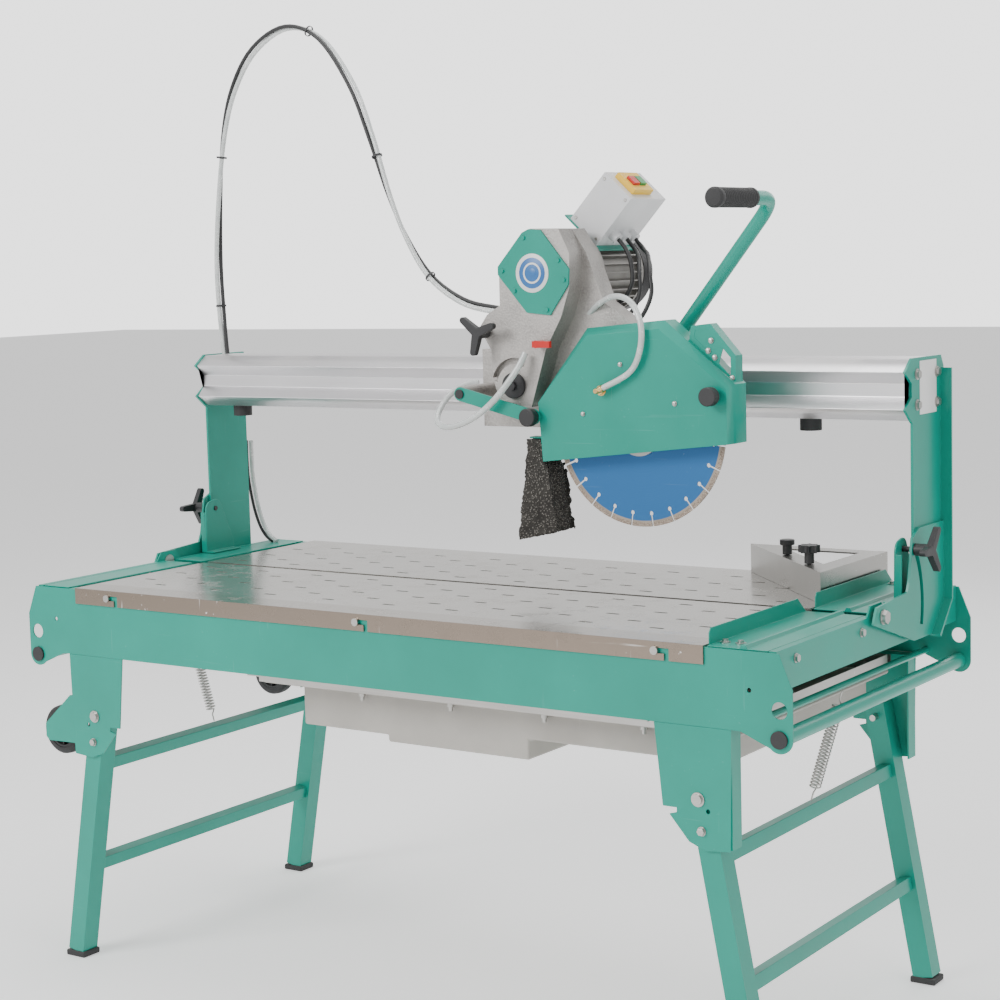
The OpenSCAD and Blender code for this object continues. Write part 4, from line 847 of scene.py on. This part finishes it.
def add_guard_fittings():
    """Screws, a brass hose barb and its nut on the guard's front face."""
    face = corner("guard").y
    bm = bmesh.new()
    for dx, dz, size in ((-15, 124, 3.6), (-96, 33, 3.4), (96, 55, 3.8)):
        place = SPINDLE + Vector((dx / 1000, 0, dz / 1000))
        place.y = face
        hex_head(bm, size / 1000, 0.003, place, TOWARDS_FRONT)
    piece_from("guard_screws", bm, ZINC, "guard_body")
    bm = bmesh.new()
    place = Vector((SPINDLE.x - 0.0565, face, SPINDLE.z + 0.0765))
    hex_head(bm, 0.008, 0.006, place, TOWARDS_FRONT)
    lathe(bm, [(0, 0), (0.0052, 0), (0.0052, 0.020), (0.0042, 0.0215), (0, 0.0215)], place, TOWARDS_FRONT, 24)
    heading = Vector((0.92, 0, 0.39)).normalized()
    bend = place + Vector((0, -0.0155, 0))
    side_turn = heading.to_track_quat("Z", "Y").to_matrix().to_4x4()
    lathe(bm, [(0, 0), (0.0052, 0), (0.0052, 0.008), (0.0070, 0.009), (0.0070, 0.014), (0.0046, 0.015),
               (0.0046, 0.024), (0, 0.024)], bend, side_turn, 24)
    piece_from("hose_barb", bm, BRASS, "guard_body")
    return bend + heading * 0.014


BARB = add_guard_fittings()


def guard_hose():
    """The clear hose that arcs over the guard, from behind it to the barb on its face."""
    points = [
        SPINDLE + Vector(p) for p in (
            (-0.140, 0.035, 0.198), (-0.093, 0.012, 0.230), (-0.040, -0.016, 0.246),
            (0.006, -0.038, 0.236), (0.033, -0.050, 0.200), (0.034, -0.054, 0.154), (0.012, -0.053, 0.112))
    ] + [BARB]
    line = route(points, 7)
    piece = tube("guard_hose", line, 0.0055)
    piece.data.materials.append(HOSE_CLEAR)
    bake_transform(piece)


guard_hose()


def gland_cables():
    """Three black cables that leave the switch box's glands, bow out and drop towards the guard."""
    box_side = MOTOR + OUT * (MOTOR_RADIUS + 0.034) + DOWN * (BOX_SHIFT + BOX_HALF_WIDTH + 0.016)
    routes = [
        [(0.031, -0.008, -0.046), (0.038, -0.018, -0.082), (0.020, -0.024, -0.114), (-0.012, -0.030, -0.124)],
        [(0.036, -0.020, -0.034), (0.052, -0.046, -0.062), (0.058, -0.056, -0.098), (0.050, -0.070, -0.132),
         (0.030, -0.094, -0.158), (0.020, -0.116, -0.172)],
        [(0.038, -0.022, -0.028), (0.060, -0.055, -0.041), (0.076, -0.080, -0.066), (0.084, -0.090, -0.102),
         (0.074, -0.102, -0.138), (0.058, -0.122, -0.164), (0.050, -0.146, -0.178)],
    ]
    for k, places in enumerate(routes):
        start = Vector((box_side.x, corner("switch_box").y + 0.030 + 0.032 * k, box_side.z))
        line = route([start, start + DOWN * 0.022 + Vector((0, 0, -0.004))]
                     + [start + Vector(p) for p in places], 8)
        piece = tube(f"box_cable_{k + 1}", line, 0.004)
        piece.data.materials.append(CABLE)
        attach(piece, "head")


def box_fittings():
    """Four small screws on the switch box's front side."""
    turn = Matrix.Translation(MOTOR) @ Matrix(
        ((DOWN.x, 0, OUT.x, 0), (0, 1, 0, 0), (DOWN.z, 0, OUT.z, 0), (0, 0, 0, 1)))
    left, front = BOX_SHIFT - BOX_HALF_WIDTH, corner("switch_box").y - MOTOR.y
    bm = bmesh.new()
    for u in (left + 0.008, left + 0.068):
        for v in (0.090, 0.185):
            lathe(bm, [(0, 0), (0.0034, 0), (0.0034, 0.0006), (0.0026, 0.0012), (0, 0.0012)],
                  turn @ Vector((u, front, v)), TOWARDS_FRONT, 20)
    piece_from("box_screws", bm, ZINC, "head")


gland_cables()
box_fittings()


def bent_handle():
    """One bent tube from the boss on the case up to the grip, with a swept elbow."""
    grip_low, grip_high = corner("grip"), corner("grip", low=False)
    foot = SPINDLE + Vector((0.030, 0.080, 0.160))
    top = Vector(((grip_low.x + grip_high.x) / 2, foot.y, (grip_low.z + grip_high.z) / 2))
    climb, bend = (foot - top).normalized(), 0.048
    start, end = top + climb * bend, top + Vector((0, -bend, 0))
    elbow = [start * (1 - s) ** 2 + top * (2 * s * (1 - s)) + end * s ** 2
             for s in (k / 12 for k in range(13))]
    line = [foot] + elbow + [Vector((top.x, grip_high.y - 0.01, top.z))]
    piece = tube("handle_tube", line, 0.013, 28)
    piece.data.materials.append(GREEN)
    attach(piece, "head")
    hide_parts("handle")
    bm = bmesh.new()
    boss = Vector((foot.x + 0.002, foot.y, foot.z + 0.002))
    lathe(bm, [(0, -0.002), (0.0185, -0.002), (0.02, -0.0005), (0.02, 0.0138), (0, 0.0138)], boss,
          TOWARDS_FRONT, 40)
    piece_from("handle_boss", bm, GREEN, "head")


bent_handle()


def hood_plate():
    """The flat plate on the front of the hood, and the hood's screws."""
    front = corner("guard").y + 0.0245
    bm = bmesh.new()
    outline = [(113, 157), (119, 190.5), (155, 194.5), (184, 162), (166, 105)]
    low = [bm.verts.new(SPINDLE + Vector((x / 1000, 0, z / 1000))) for x, z in outline]
    for v in low:
        v.co.y = front
    bm.faces.new(low)
    made = bmesh.ops.extrude_face_region(bm, geom=bm.faces[:])
    back = [v for v in made["geom"] if isinstance(v, bmesh.types.BMVert)]
    bmesh.ops.translate(bm, vec=(0, 0.002, 0), verts=back)
    piece_from("hood_plate", bm, GREEN, "guard_body", smooth=False)
    bm = bmesh.new()
    for x, z in ((158, 166), (152, 148), (199, 100), (165, 136)):
        place = SPINDLE + Vector((x / 1000, 0, z / 1000))
        place.y = front
        hex_head(bm, 0.0042, 0.003, place, TOWARDS_FRONT)
    piece_from("hood_screws", bm, ZINC, "guard_body")


hood_plate()


def upright_lines():
    """The pump's black cable and its clear hose, down the back of the left upright to the tray."""
    for k, (name, radius, material, slot) in enumerate((
            ("pump_cable", 0.0035, CABLE, "cable_jacket"), ("pump_hose", 0.0050, HOSE_CLEAR, "hose"))):
        step = 0.012 * k
        low = corner("uprights", low=False).y + radius
        points = [(-0.838 + step, low + 0.001, 0.990), (-0.840 + step, low + 0.003, 0.950),
                  (-0.843 + step, low + 0.008, 0.910), (-0.843 + step, low + 0.015, 0.870),
                  (-0.838 + step, low + 0.020, 0.830), (-0.826 + step, low + 0.022, 0.795),
                  (-0.808 + step, low + 0.020, 0.773), (-0.786 + step, low + 0.016, TABLE_TOP + 0.002)]
        line = route(points, 5)
        piece = tube(name, line, radius)
        piece.data.materials.append(material)
        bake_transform(piece)


upright_lines()


def blank_label():
    """A plain label plate on the right upright's head."""
    bm = bmesh.new()
    x = at("right_tilt_lock").x + 0.0072
    low = Vector((x, CUT_Y + 0.176, TABLE_TOP + 0.330))
    slab(bm, low, low + Vector((0.0006, 0.075, 0.095)), 0.0003)
    piece_from("blank_label", bm, WHITE, "bridge")


blank_label()

# ---------------------------------------------------------------- stage and light


def add_stage():
    """A wide pale floor that glows a little, so that the shadows stay soft."""
    bm = bmesh.new()
    bmesh.ops.create_grid(bm, x_segments=1, y_segments=1, size=30)
    data = bpy.data.meshes.new("floor")
    bm.to_mesh(data)
    bm.free()
    floor = bpy.data.objects.new("floor", data)
    bpy.context.collection.objects.link(floor)
    material, tree, surface, place = blank("studio_floor")
    grain = use(tree, MOTTLE, Vector=place, Broad=0.6, Fine=30.0)
    colour = mix(tree, grain["Drift"], (0.86, 0.86, 0.86), (0.88, 0.88, 0.88))
    finish_material(tree, surface, colour, span(tree, grain["Drift"], 0.7, 0.8), grain["Grain"], 0.02, 0.001)
    surface.inputs["Emission Color"].default_value = (1, 1, 1, 1)
    surface.inputs["Emission Strength"].default_value = 0.5
    data.materials.append(material)


def add_light(name, place, target, size, power):
    data = bpy.data.lights.new(name, "AREA")
    data.energy = power
    data.shape = "RECTANGLE"
    data.size, data.size_y = size
    lamp = bpy.data.objects.new(name, data)
    bpy.context.collection.objects.link(lamp)
    lamp.location = place
    lamp.rotation_euler = (Vector(target) - Vector(place)).to_track_quat("-Z", "Y").to_euler()


def add_lights():
    """A bright backdrop, a dim surround and four soft lights."""
    world = bpy.data.worlds.new("studio")
    world.use_nodes = True
    tree = world.node_tree
    glow = tree.nodes["Background"]
    glow.inputs[0].default_value = (1, 1, 1, 1)
    ray = tree.nodes.new("ShaderNodeLightPath")
    seen = math_node(tree, "MULTIPLY", ray.outputs["Is Camera Ray"], 1.9)
    mirrored = math_node(tree, "MULTIPLY", ray.outputs["Is Glossy Ray"], 0.5)
    total = math_node(tree, "ADD", math_node(tree, "ADD", seen, mirrored), 0.5)
    tree.links.new(total, glow.inputs[1])
    bpy.context.scene.world = world
    middle = (0, 0, 0.9)
    add_light("key", (-1.8, -4.2, 3.4), middle, (2.6, 1.8), 200)
    add_light("fill", (4.4, -1.2, 2.4), middle, (2.6, 2.6), 40)
    add_light("top", (0.2, 0.6, 4.4), middle, (4.0, 2.4), 110)
    add_light("rim", (0.5, 4.2, 2.6), middle, (3.0, 1.6), 40)


add_stage()
add_lights()
